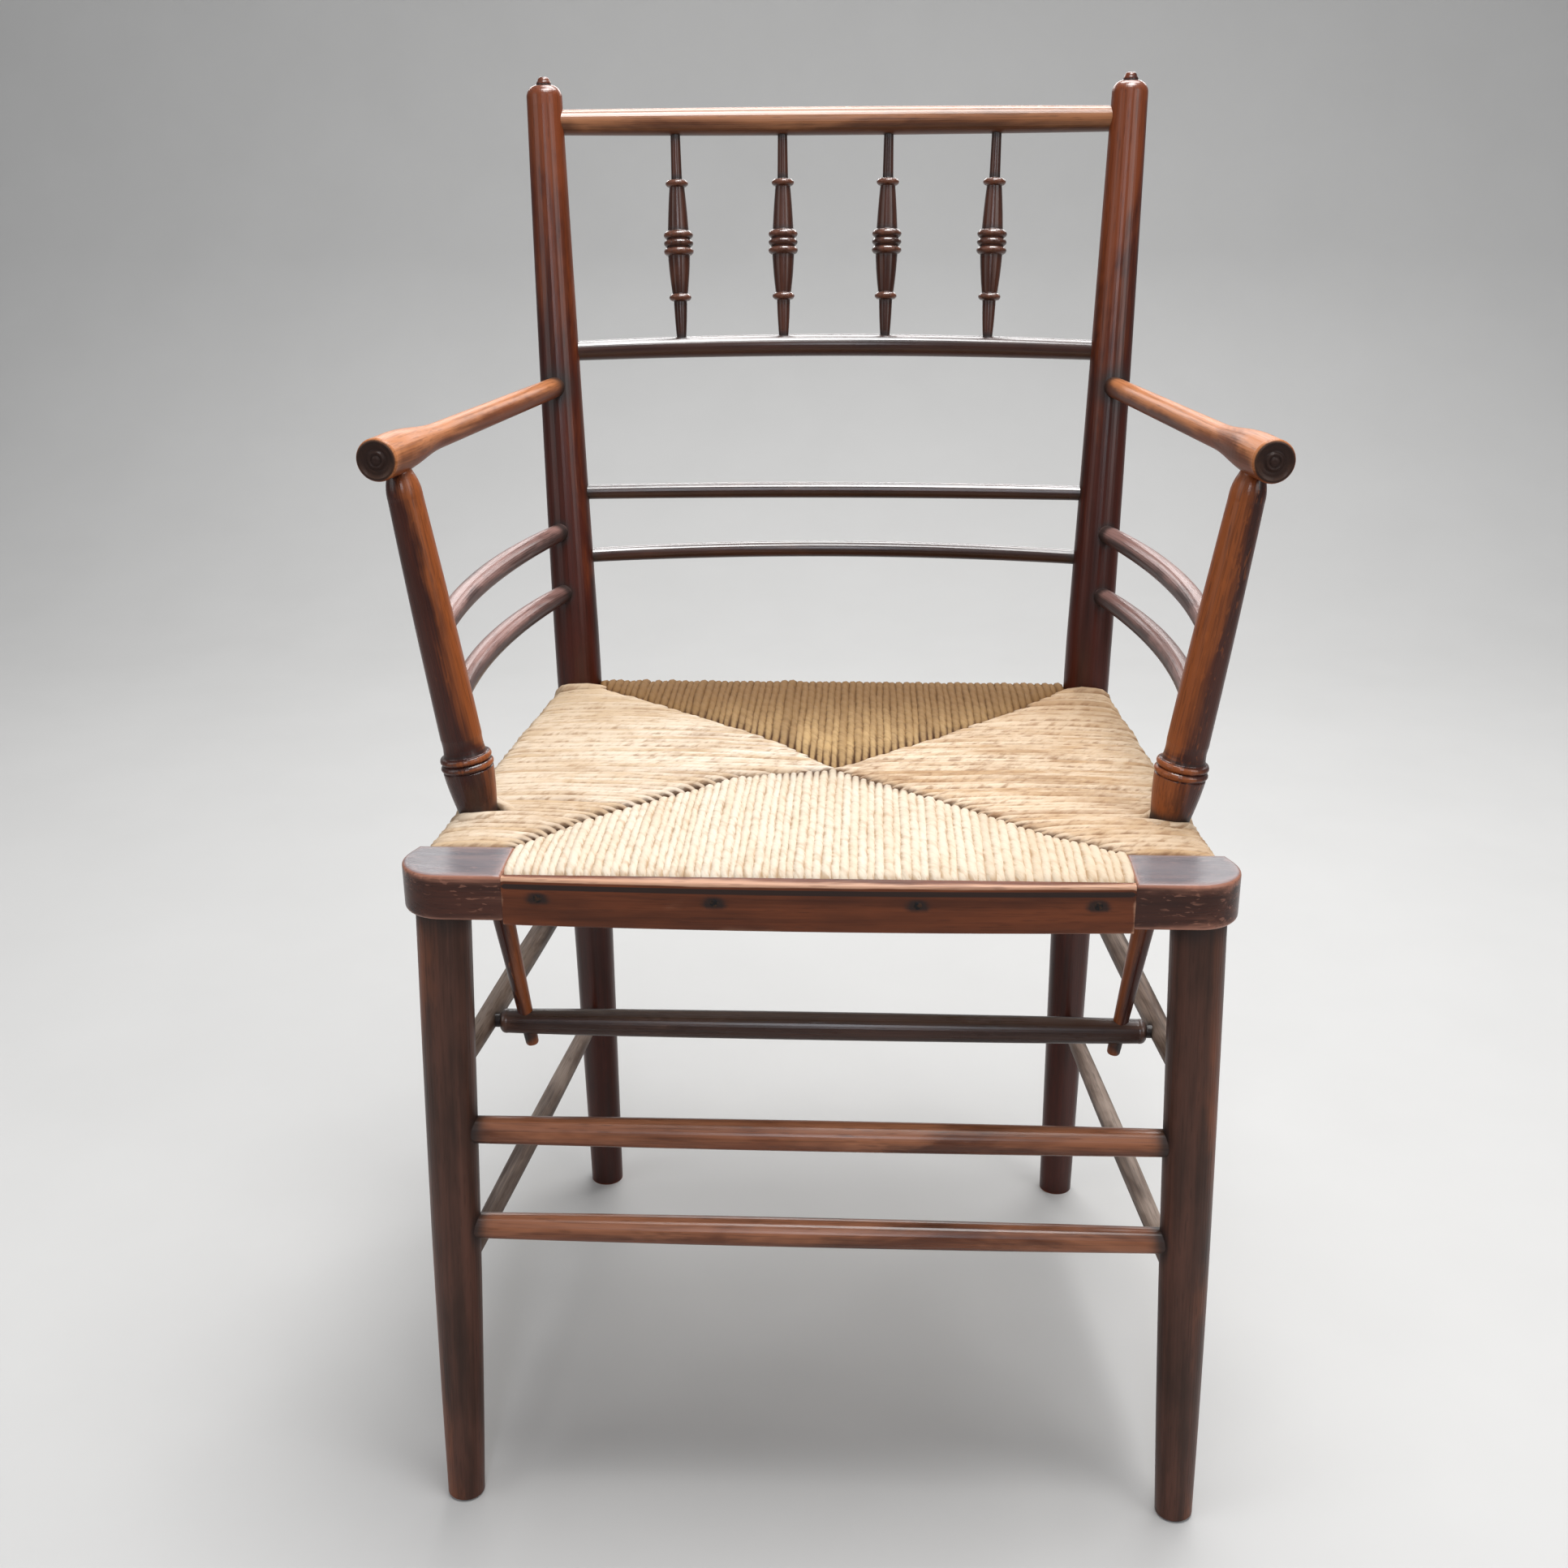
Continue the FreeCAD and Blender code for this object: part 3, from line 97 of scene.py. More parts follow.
class Wire:
    """A socket of a node tree: arithmetic on it adds Math nodes, and node() adds any other kind."""

    def __init__(self, tree, socket=None):
        self.tree = tree
        self.socket = socket

    def node(self, kind, sockets=None, out=0, **settings):
        made = self.tree.nodes.new(kind)
        for key, setting in settings.items():
            setattr(made, key, setting)
        for key, value in (sockets or {}).items():
            if isinstance(value, Wire):
                self.tree.links.new(value.socket, made.inputs[key])
            else:
                made.inputs[key].default_value = value
        return Wire(self.tree, made.outputs[out] if made.outputs else None)

    def math(self, operation, second=0.0):
        return self.node("ShaderNodeMath", {0: self, 1: second}, operation=operation)

    def __add__(self, other):
        return self.math("ADD", other)

    __radd__ = __add__

    def __mul__(self, other):
        return self.math("MULTIPLY", other)

    __rmul__ = __mul__

    def __sub__(self, other):
        return self.math("SUBTRACT", other)

    def __rsub__(self, other):
        return self.node("ShaderNodeMath", {0: other, 1: self}, operation="SUBTRACT")

    def __truediv__(self, other):
        return self.math("DIVIDE", other)

    def stretch(self, x, y, z):
        return self.node("ShaderNodeVectorMath", {0: self, 1: (x, y, z)}, operation="MULTIPLY")

    def noise(self, detail=3.0, roughness=0.55, distortion=0.0):
        sockets = {"Vector": self, "Scale": 1.0, "Detail": detail, "Roughness": roughness,
                   "Distortion": distortion}
        return self.node("ShaderNodeTexNoise", sockets)

    def between(self, low, high):
        """0 below low and 1 above high, smooth between them."""
        sockets = {"Value": self, "From Min": low, "From Max": high}
        return self.node("ShaderNodeMapRange", sockets, interpolation_type="SMOOTHSTEP")

    def tint(self, ground, over):
        """This mask's mix of two colours."""
        ground, over = (shade if isinstance(shade, Wire) else (*shade, 1.0) for shade in (ground, over))
        return self.node("ShaderNodeMix", {0: self, 6: ground, 7: over}, out=2, data_type="RGBA")

    def attribute(self, name, out="Fac"):
        return self.node("ShaderNodeAttribute", out=out, attribute_name=name)

    def part(self, axis):
        """One part of a vector: 0, 1 or 2."""
        return self.node("ShaderNodeSeparateXYZ", {0: self}, out=axis)

    def point(self, x, y, z=0.0):
        return self.node("ShaderNodeCombineXYZ", {"X": x, "Y": y, "Z": z})

    def scaled(self, share):
        return self.node("ShaderNodeVectorMath", {0: self, "Scale": share}, operation="SCALE")

    def shifted(self, way):
        return self.node("ShaderNodeVectorMath", {0: self, 1: way}, operation="ADD")

    def stored(self, name, value, kind="FLOAT"):
        """This geometry with a value kept on its points."""
        sockets = {"Geometry": self, "Name": name, "Value": value}
        return self.node("GeometryNodeStoreNamedAttribute", sockets, data_type=kind, domain="POINT")

    def feed(self, shader, socket):
        self.tree.links.new(self.socket, shader.inputs[socket])

    def bump(self, shader, strength, distance):
        """Feeds this height to a shader as bumps."""
        sockets = {"Strength": strength, "Distance": distance, "Height": self}
        self.node("ShaderNodeBump", sockets).feed(shader, "Normal")


def surface(name):
    """A new material: itself, a first wire on its tree and its Principled shader."""
    made = bpy.data.materials.new(name)
    made.use_nodes = True
    return made, Wire(made.node_tree), made.node_tree.nodes["Principled BSDF"]


def settle(shader, sockets):
    """Sets the steady inputs of a shader."""
    for key, value in sockets.items():
        shader.inputs[key].default_value = value


DUST_AND_SHEEN_GREY = (0.245, 0.24, 0.26)
DIRT_AND_SHADE_BLACK = (0.024, 0.016, 0.014)


def stained(name, deep, body, worn_and_lit, wear, facing_wear_and_light=(0.0, 0.0, 0.06), rise=0.0, sheen=0.16, gloss=0.4, bloom_and_sheen=0.0,
            grit=0.14, wax=0.0, ridge=0.0, chips=0.0):
    """Stained and waxed beech: deep stain in the grain, its body colour, paler wood where hands and cloth
    have rubbed, grime at the joints and painted shade in grooves. facing_wear_and_light makes it paler on
    sides that face inwards, forwards and up, partly as wear and partly as painted light above and shade
    below, and rise makes it paler with height; sheen is the finish's least roughness, gloss its strength,
    bloom_and_sheen the grey of dust and of a painted sheen on faces that look up, grit how much the grain
    can be felt, wax how much polish lies on the upper side, ridge how much on the front, and chips how
    bare its small knocks are."""
    finish, start, shade = surface(name)
    grain = start.attribute("grain", "Vector")
    relief = start.attribute("relief")
    grime = start.attribute("grime")
    faces = start.node("ShaderNodeNewGeometry", out="Normal")
    facing = [faces.part(axis) for axis in (0, 1, 2)]
    place = start.node("ShaderNodeTexCoord", out="Object")
    spread = place.part(0)
    height = place.part(2)
    streaks = grain.stretch(150.0, 150.0, 5.0).noise(4.0, 0.6, 0.3)
    lines = grain.stretch(900.0, 900.0, 22.0).noise(2.0, 0.6)
    mottle = grain.stretch(42.0, 42.0, 12.0).noise(3.0, 0.6)
    patches = grain.stretch(24.0, 24.0, 7.0).noise(4.0, 0.65, 0.5)
    pores = start.node("ShaderNodeTexVoronoi", {"Vector": grain.stretch(420.0, 420.0, 55.0), "Scale": 1.0})
    pores = 1 - pores.between(0.12, 0.3)
    colour = (0.5 * streaks + 0.5 * mottle).between(0.3, 0.66).tint(deep, body)
    # The pale worn colour goes where the wood is rubbed at random and on raised edges, which is real wear,
    # and on sides facing inwards, forwards and up, where it also paints light on lit sides and shade below.
    rubbed = patches + 0.3 * streaks + relief * 170.0 + (height - 0.6) * rise
    outward = facing[0] * spread.math("SIGN")
    rubbed = rubbed - outward * facing_wear_and_light[0] - facing[1] * facing_wear_and_light[1] + facing[2] * facing_wear_and_light[2]
    bare = rubbed.between(0.82 - 0.34 * wear, 1.12 - 0.34 * wear)
    colour = (bare * min(1.0, 0.5 + 0.5 * wear)).tint(colour, worn_and_lit)
    colour = (lines.between(0.5, 0.68) * 0.35).tint(colour, deep)
    colour = (pores * 0.3).tint(colour, deep)
    if chips:
        knocks = grain.stretch(420.0, 420.0, 130.0).noise(2.0, 0.5, 0.4).between(0.6, 0.67)
        colour = (knocks * patches.between(0.46, 0.56) * chips).tint(colour, worn_and_lit)
    # Faces that look up are hazed grey: partly dust on the wax, partly a painted sheen for reflected light.
    dust_and_sheen = facing[2].between(0.75, 0.98) * (patches.between(0.3, 0.62) * 0.8 + 0.4 * mottle) * bloom_and_sheen
    colour = dust_and_sheen.tint(colour, DUST_AND_SHEEN_GREY)
    # Dark: grime at the joints, which is real dirt, and, where relief is below zero, painted shade in
    # grooves and under the strip's lip.
    dirt = (grime * (0.55 + 0.9 * mottle) + relief.between(-0.0003, -0.0016)).between(0.15, 0.95)
    colour = (dirt * 0.92).tint(colour, DIRT_AND_SHADE_BLACK)
    colour.feed(shade, "Base Color")
    (sheen + 0.16 * mottle + 0.08 * lines + 0.2 * dirt + 0.04 * bare).feed(shade, "Roughness")
    settle(shade, {"Specular IOR Level": gloss})
    if wax:
        polish = facing[2].between(0.05, 0.75) * wax + facing[1].between(-0.7, -0.98) * ridge
        polish.feed(shade, "Coat Weight")
        settle(shade, {"Coat Roughness": 0.24, "Coat IOR": 1.9})
    bumps = 0.45 * lines + 0.5 * streaks + 0.4 * mottle - 0.3 * pores - 0.4 * dirt
    bumps.bump(shade, grit, 0.0008)
    return finish


def tree_of(name, **inputs):
    """A geometry tree with named inputs and one output, and a wire for each input."""
    tree = bpy.data.node_groups.new(name, "GeometryNodeTree")
    for label, kind in inputs.items():
        tree.interface.new_socket(label, in_out="INPUT", socket_type="NodeSocket" + kind)
    tree.interface.new_socket("Piece", in_out="OUTPUT", socket_type="NodeSocketGeometry")
    entry = tree.nodes.new("NodeGroupInput")
    return tree, {label: Wire(tree, entry.outputs[label]) for label in inputs}


def close_tree(shape, finish):
    """Ends a geometry tree in plain faces with a finish."""
    plain = shape.node("GeometryNodeRealizeInstances", {"Geometry": shape})
    done = shape.node("GeometryNodeSetMaterial", {"Geometry": plain, "Material": finish})
    end = shape.tree.nodes.new("NodeGroupOutput")
    shape.tree.links.new(done.socket, end.inputs["Piece"])


lathe, cut = tree_of("turned stick", Line="Geometry", Sides="Int", Unevenness="Float", Seed="Float",
                     Finish="Material")
line = cut["Line"]
stations = line.node("GeometryNodeAttributeDomainSize", {"Geometry": line}, "Point Count", component="MESH")
sheet = stations.node("GeometryNodeMeshGrid", {"Vertices X": cut["Sides"] + 1, "Vertices Y": stations})
index = sheet.node("GeometryNodeInputIndex")
column = ((index + 0.5) / stations).math("FLOOR")
station = index - column * stations
SHARP_ANGLE = 0.7
MERGE_DISTANCE = 0.000002


def at_station(value, kind):
    """A value of the stick's line, read at each vertex's own station."""
    sockets = {"Geometry": line, "Value": value, "Index": station}
    return station.node("GeometryNodeSampleIndex", sockets, data_type=kind, domain="POINT")


def along(name, kind="FLOAT"):
    return at_station(station.node("GeometryNodeInputNamedAttribute", {"Name": name}, data_type=kind), kind)


angle = column / cut["Sides"] * math.tau
cosine = angle.math("COSINE")
sine = angle.math("SINE")
reach = along("reach")
girth = along("girth")
knobs = sheet.point(cosine * 1.3, sine * 1.3, reach * 22.0 + cut["Seed"])
fat = girth + cut["Unevenness"] * (knobs.noise(2.0) - 0.5) * girth
spread = along("side", "FLOAT_VECTOR").scaled(fat * cosine)
depth = along("front", "FLOAT_VECTOR").scaled(fat * sine)
centre = at_station(sheet.node("GeometryNodeInputPosition"), "FLOAT_VECTOR")
skin = centre.shifted(spread.shifted(depth))
lie = sheet.point(fat * cosine, fat * sine, reach + cut["Seed"])
stock = sheet.node("GeometryNodeSetPosition", {"Geometry": sheet, "Position": skin})
stock = stock.stored("grain", lie, "FLOAT_VECTOR").stored("relief", along("relief"))
stock = stock.node("GeometryNodeMergeByDistance", {"Geometry": stock, "Distance": MERGE_DISTANCE})
bend = stock.node("GeometryNodeInputMeshEdgeAngle")
sharp = bend.math("GREATER_THAN", SHARP_ANGLE)
sockets = {"Geometry": stock, "Shade Smooth": False, "Selection": sharp}
stock = stock.node("GeometryNodeSetShadeSmooth", sockets, domain="EDGE")
close_tree(stock, cut["Finish"])


def put_in(name, data):
    """A new object in the scene."""
    piece = bpy.data.objects.new(name, data)
    bpy.context.scene.collection.objects.link(piece)
    return piece


def meshed(name, places, edges=(), faces=()):
    mesh = bpy.data.meshes.new(name)
    mesh.from_pydata(places, edges, faces)
    return mesh


def shaped(name, carrier, tree, **inputs):
    """Runs a carrier mesh through a geometry tree and keeps the result as a plain mesh."""
    piece = put_in(name, carrier)
    modifier = piece.modifiers.new(tree.name, "NODES")
    modifier.node_group = tree
    for item in tree.interface.items_tree:
        if item.in_out == "INPUT" and item.name in inputs:
            modifier[item.identifier] = inputs[item.name]
    mesh = bpy.data.meshes.new_from_object(piece.evaluated_get(bpy.context.evaluated_depsgraph_get()))
    piece.modifiers.clear()
    piece.data = mesh
    return piece


def marked(mesh, name, values, kind="FLOAT"):
    """Stores a number or a vector for each vertex of a mesh."""
    layer = mesh.attributes.new(name, kind, "POINT")
    layer.data.foreach_set("vector" if kind == "FLOAT_VECTOR" else "value", np.ravel(values))


def stands_for(piece, slot, *nodes):
    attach(piece, "root")
    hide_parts(*nodes)


wooden = []
joints = []


def soiled(place, radius, soil):
    """Marks a joint for dirt: its place in millimetres, its radius and how far dirt reaches, in metres."""
    joints.append((*(place / 1000.0), radius, soil))


def stick(name, rows, finish, sunk=(0.0, 0.0), sides=40, unevenness=0.012, soil=0.003, edge_wear=1.0):
    """Makes a stick from rows in millimetres; sunk is how deep each end sits in its host, which marks a
    joint there, soil how far the dirt of that joint reaches, in metres, and edge_wear how much its edges
    are rubbed."""
    places = np.array([row[0] for row in rows]) / 1000.0
    girths = np.array([row[1] for row in rows]) / 1000.0
    axes = np.array([row[2] for row in rows])
    hold = np.eye(3)[np.argmin(np.abs(axes[len(axes) // 2]))]
    side = hold - axes * (axes @ hold)[:, None]
    side /= norm(side, axis=1)[:, None]
    runs = np.concatenate(([0.0], np.cumsum(norm(np.diff(places, axis=0), axis=1))))
    widest = np.array([girths[runs == run].max() for run in runs])
    near = [np.interp(runs + shift, runs, widest)
            for shift in (-0.007, -0.0045, -0.002, 0.002, 0.0045, 0.007)]
    carrier = meshed(name, places, [(step, step + 1) for step in range(len(places) - 1)])
    marked(carrier, "girth", girths)
    marked(carrier, "reach", runs)
    relief = widest - np.mean(near, axis=0)
    marked(carrier, "relief", np.where(relief > 0.0, relief * edge_wear, relief))
    marked(carrier, "side", side, "FLOAT_VECTOR")
    marked(carrier, "front", np.cross(axes, side), "FLOAT_VECTOR")
    seed = 0.731 * (1 + len(wooden))
    piece = shaped(name, carrier, lathe, Sides=sides, Unevenness=unevenness, Seed=seed, Finish=finish)
    for end, in_host in ((0.0, sunk[0]), (runs[-1], sunk[1])):
        if in_host:
            mouth = np.argmin(np.abs(np.abs(runs - end) - in_host / 1000.0))
            joints.append((*places[mouth], girths[mouth], soil))
    wooden.append(piece)
    stands_for(piece, "stained_wood", name)


POST_SEAT = (184.6, 357.4, SEAT_HEIGHT)
POST_SHOULDER = (201.6, 429.7, 833.5)
POST_FOOT = spot(184.0, 369.0, 0.0)
POST_BEND = 14.4
POST_LEAN = 11.6


def post_line(height):
    """The back post's place at a height: it leans a little below the seat and bends back above it."""
    share = (height - POST_SEAT[2]) / (POST_SHOULDER[2] - POST_SEAT[2])
    spread = POST_SEAT[0] + share * (POST_SHOULDER[0] - POST_SEAT[0])
    setback = POST_SEAT[1] + share * (POST_SHOULDER[1] - POST_SEAT[1]) - POST_BEND * share * (1.0 - share)
    if share < 0.0:
        spread = POST_SEAT[0] + 0.6 * share
        setback = POST_SEAT[1] - POST_LEAN * height / POST_SEAT[2] + POST_LEAN
    return spot(spread, setback, height)


post_red = stained("post_stain", (0.026, 0.0065, 0.004), (0.068, 0.0125, 0.0065), (0.22, 0.052, 0.014),
                   0.36, facing_wear_and_light=(0.06, 0.05, 0.0), rise=1.3, sheen=0.2, gloss=0.2, grit=0.09, wax=0.7,
                   ridge=0.15)
post_heights = np.linspace(0.0, POST_SHOULDER[2], 110)
post_places = [np.mean([post_line(height + step) for step in np.linspace(-40.0, 40.0, 17)], axis=0)
               for height in post_heights]
post_girth = np.interp(post_heights, (0, 270, 391, 471, 664, 833.5), (25.0, 30.5, 32.3, 32.3, 28.3, 24.5))
finial = ((0.0, 24.5), (7.2, 10.2, 1.7), (9.8, 8.4, 0.2), (12.0, 0.0, 1.2))
for side, mirror in SIDES:
    rows = swept(np.array(post_places) * mirror, post_girth)
    top = rows[-1][0]
    rows = rows[:-1] + turned(top, top + (0.0, 0.0, 1.0), finial)
    foot = (POST_FOOT * mirror, 0.0, rows[0][2])
    stick(f"back_post_{side}", [foot] + rows, post_red, sides=48)


# Back rails: four beech rods, steamed and bent backwards to fit the sitter, thickest in the middle.
# Their thin ends are pushed into sockets drilled in the posts; the crest rail is rubbed pale by hands, and
# it is painted paler on top and darker underneath as light and shade from above.

CREST = (816.0, 34.9)
SPINDLE_RAIL = (664.0, 38.0)


def bowed(start, finish, bow, end_girth, middle_girth, steps=64):
    """A rod from one host's axis to another's, bowed in the middle, with slimmer ends."""
    shares = np.linspace(0.0, 1.0, steps + 1)
    swell = 1.0 - (2.0 * shares - 1.0) ** 2
    places = start + np.outer(shares, finish - start) + np.outer(swell, bow)
    return swept(places, end_girth + swell * (middle_girth - end_girth))


# The crest's paler top and darker underside are partly wear and partly painted light and shade.
crest_tan = stained("crest_stain", (0.05, 0.016, 0.007), (0.125, 0.042, 0.017), (0.35, 0.145, 0.062),
                    0.66, facing_wear_and_light=(0.0, 0.08, 0.26), sheen=0.2, gloss=0.34, grit=0.03, wax=0.6)
rail_brown = stained("rail_stain", (0.02, 0.009, 0.007), (0.055, 0.021, 0.014), (0.15, 0.058, 0.034),
                     0.3, sheen=0.16, gloss=0.34, grit=0.03, wax=1.0)
for name, (height, bow), girths, finish, sunk in (
        ("crest_rail", CREST, (16.6, 19.2), crest_tan, 0.0),
        ("spindle_rail", SPINDLE_RAIL, (13.4, 15.4), rail_brown, 0.0),
        ("back_rail_upper", (567.0, 12.0), (10.0, 11.3), rail_brown, 14.0),
        ("back_rail_lower", (522.0, 28.0), (10.0, 11.6), rail_brown, 14.0)):
    right = post_line(height)
    rows = bowed(right * LEFT, right, (0.0, bow, 0.0), *girths)
    stick(name, rows, finish, sunk=(sunk, sunk), soil=0.004)


# Back spindles: four slim turned sticks with a collar near each end and three rings under a long cone.
# They stand in the spindle rail and are pinned by thin tenons under the crest rail.

def on_rail(height, bow, spread):
    """The place on a bowed back rail at a spread from the middle."""
    end = post_line(height)
    return np.array((spread, end[1] + bow * (1.0 - (spread / end[0]) ** 2), height))


spindle_dark = stained("spindle_stain", (0.026, 0.01, 0.007), (0.078, 0.026, 0.015),
                       (0.17, 0.06, 0.032), 0.35, sheen=0.12, gloss=0.34, grit=0.03, wax=0.9)
spindle_cuts = ((0.0, 6.8), (4.0, 6.8), (29.0, 9.4, 0.2), (29.4, 12.8), (33.8, 12.8, 1.5), (34.2, 10.8),
                (35.0, 11.2), (60.6, 15.6, 0.3), (60.8, 17.6), (66.0, 17.6, 1.8), (66.4, 17.0),
                (71.6, 17.6, 1.8), (72.0, 17.0), (77.2, 17.6, 1.8), (77.6, 14.8), (107.4, 10.6, 0.2),
                (107.8, 13.0), (112.0, 13.0, 1.5), (112.4, 7.6))
for number in range(4):
    foot = on_rail(*SPINDLE_RAIL, 73.0 * (number - 1.5)) + (0.0, 0.0, 3.0)
    head = on_rail(*CREST, 75.5 * (number - 1.5)) - (0.0, 0.0, 4.0)
    rows = turned(foot, head, (*spindle_cuts, (norm(head - foot), 6.6)))
    stick(f"back_spindle_{number + 1}", rows, spindle_dark, sunk=(4.5, 5.0), sides=36, soil=0.0015)


# Arms: turned beech, swollen to a handhold at the front and thin where they enter the back posts.
# The front face has a turned ring and button, and years of hands have worn the top to pale orange;
# the pale top and darker underside are also painted light and shade.

# The paler top and darker underside come partly from wear and partly from painted light and shade.
arm_tan = stained("arm_stain", (0.09, 0.022, 0.005), (0.185, 0.046, 0.011), (0.54, 0.212, 0.086),
                  0.62, facing_wear_and_light=(0.05, 0.0, 0.3), sheen=0.24, gloss=0.12, grit=0.05, wax=0.17)
ARM_FRONT = 72.8
ARM_FACE = spot(241.0, ARM_FRONT, 644.0)
ARM_REAR = post_line(641.4)
arm_length = norm(ARM_REAR - ARM_FACE)
arm_taper = [(distance, 15.2 + 9.0 * (0.5 + 0.5 * math.cos(math.pi * (distance - 22.0) / 66.0)))
             for distance in np.linspace(22.0, 88.0, 12)]
arm_cuts = ((-0.4, 0.0), (0.3, 5.2, 0.4), (0.5, 5.8), (-0.2, 7.6), (-0.1, 9.0), (1.0, 10.6), (1.2, 12.0),
            (0.9, 16.0, 0.1), (0.0, 20.0, -0.1), (0.0, 20.6), (3.2, 23.8, 0.75), *arm_taper,
            (arm_length - 3.0, 13.8))
for side, mirror in SIDES:
    rows = turned(ARM_FACE * mirror, ARM_REAR * mirror, arm_cuts)
    stick(f"arm_{side}", rows, arm_tan, sunk=(0.0, 12.0), sides=48, soil=0.009, edge_wear=0.2)
    soiled(ARM_FACE * mirror, 0.0108, 0.0006)


# Arm posts: one long turned stick under each arm, raked outwards, with two thin rings over a swelling at
# the seat. Below it a thin tail goes on through the seat's side rail to the cross stretcher.

# Sides that face inwards are painted a paler orange for the warm light thrown back from the seat.
arm_post_red = stained("arm_post_stain", (0.026, 0.008, 0.006), (0.074, 0.018, 0.01), (0.34, 0.092, 0.022),
                       0.5, facing_wear_and_light=(0.32, 0.04, 0.0), gloss=0.24, grit=0.09, wax=0.5, ridge=0.12, chips=0.35)
arm_share = (99.0 - ARM_FRONT) / (ARM_REAR[1] - ARM_FACE[1])
ARM_POST_TOP = ARM_FACE + arm_share * (ARM_REAR - ARM_FACE)
ARM_POST_PLAN = (204.0, 96.0)
ARM_POST_SEAT = spot(*ARM_POST_PLAN, SEAT_HEIGHT)
TAIL_END = 276.3


def arm_post_line(height):
    share = (height - SEAT_HEIGHT) / (ARM_POST_TOP[2] - SEAT_HEIGHT)
    return ARM_POST_SEAT + share * (ARM_POST_TOP - ARM_POST_SEAT)


post_rise = norm(ARM_POST_TOP - ARM_POST_SEAT)
drop = (SEAT_HEIGHT - TAIL_END) * post_rise / (ARM_POST_TOP[2] - SEAT_HEIGHT)
arm_post_cuts = ((-drop, 0.0), (-drop + 0.2, 6.8), (-drop + 1.4, 8.0), (-2.2, 17.0), (-1.6, 22.4),
                 (0.0, 22.8), (2.5, 23.2), (27.4, 30.0, 0.4), (28.0, 28.4), (28.3, 29.2), (32.2, 29.2, 1.1),
                 (32.6, 27.6), (36.6, 29.2, 1.1), (37.0, 25.4), (48.0, 24.4, -0.5),
                 (post_rise - 26.0, 20.0, 0.4), (post_rise - 11.6, 14.6, 0.9), (post_rise - 3.0, 10.0))
for side, mirror in SIDES:
    rows = turned(ARM_POST_SEAT * mirror, ARM_POST_TOP * mirror, arm_post_cuts)
    stick(f"arm_post_{side}", rows, arm_post_red, sides=44)
    soiled(ARM_POST_SEAT * mirror, 0.0115, 0.003)


# Side rods: two slim beech rods on each side, steamed and bowed outwards between the arm post and the
# back post. Their ends are pushed into sockets in both, and their upper sides are painted pale as a
# highlight from above, over patches of rubbed wear.

# Upper sides painted pale: a painted highlight along the top.
rod_mauve = stained("rod_stain", (0.026, 0.011, 0.009), (0.078, 0.031, 0.024), (0.4, 0.225, 0.195),
                    0.5, facing_wear_and_light=(0.0, 0.0, 0.32), sheen=0.2, gloss=0.28, grit=0.05, wax=0.25)
ROD_BOW = np.array((16.0, 0.0, 0.0))
ROD_RISE = 4.0
for side, mirror in SIDES:
    for level, height in (("upper", 538.0), ("lower", 495.0)):
        rear = post_line(height + ROD_RISE)
        rows = bowed(arm_post_line(height) * mirror, rear * mirror, ROD_BOW * mirror, 12.0, 14.6)
        stick(f"side_rod_{level}_{side}", rows, rod_mauve, sunk=(13.0, 17.0), sides=32)


# Front legs: straight turned beech, swollen under the seat and tapered to a plain foot.
# Each is tenoned into the corner block above it.

leg_dark = stained("leg_stain", (0.032, 0.014, 0.009), (0.102, 0.041, 0.027), (0.22, 0.068, 0.028),
                   0.5, facing_wear_and_light=(-0.2, 0.0, 0.0), rise=0.1, sheen=0.24, gloss=0.16, wax=0.2, ridge=0.07)
LEG_HEIGHT = 404.0
LEG_FOOT = spot(223.0, 11.0, 0.0)
LEG_TOP = spot(211.3, 26.4, LEG_HEIGHT)
leg_length = norm(LEG_TOP - LEG_FOOT)
leg_middle = leg_length * 195.0 / LEG_HEIGHT
leg_cuts = ((0.0, 0.0), (0.0, 20.4), (1.3, 22.8), (leg_middle, 29.4, 0.35), (leg_length, 31.0, 0.15))
for side, mirror in SIDES:
    rows = turned(LEG_FOOT * mirror, LEG_TOP * mirror, leg_cuts)
    stick(f"front_leg_{side}", rows, leg_dark, sides=44)
    soiled(LEG_TOP * mirror, 0.0155, 0.003)


# Stretchers: turned rods that brace the legs, two in front, two on each side and one at the back, fat in
# the middle and slim at the ends. Shoes have polished the front ones to orange-brown; the side ones are
# dull and dusty.

def leg_line(height):
    return LEG_FOOT + height / LEG_HEIGHT * (LEG_TOP - LEG_FOOT)


STRAIGHT = np.zeros(3)
SOCKETED = (15.0, 15.0)
UPPER_SIDE = 292.0
stretcher_red = stained("stretcher_stain", (0.06, 0.02, 0.011), (0.205, 0.062, 0.025),
                        (0.41, 0.16, 0.078), 0.64, facing_wear_and_light=(0.0, 0.05, 0.1), gloss=0.3, grit=0.06, wax=0.3)
stretcher_dull = stained("stretcher_dull_stain", (0.056, 0.035, 0.026), (0.15, 0.094, 0.068),
                         (0.48, 0.38, 0.315), 0.58, facing_wear_and_light=(0.0, 0.0, 0.14), sheen=0.36, gloss=0.2)
for level, height, *girths in (("upper", 259.0, 16.0, 18.0), ("lower", 194.0, 15.0, 17.5)):
    right = leg_line(height)
    rows = bowed(right * LEFT, right, STRAIGHT, *girths)
    stick(f"front_stretcher_{level}", rows, stretcher_red, sunk=SOCKETED)
for side, mirror in SIDES:
    for level, height, *girths in (("upper", UPPER_SIDE, 11.5, 15.0), ("lower", 158.0, 11.0, 13.5)):
        rows = bowed(leg_line(height) * mirror, post_line(height) * mirror, STRAIGHT, *girths)
        stick(f"side_stretcher_{level}_{side}", rows, stretcher_dull, sunk=SOCKETED, sides=32)
right = post_line(262.0)
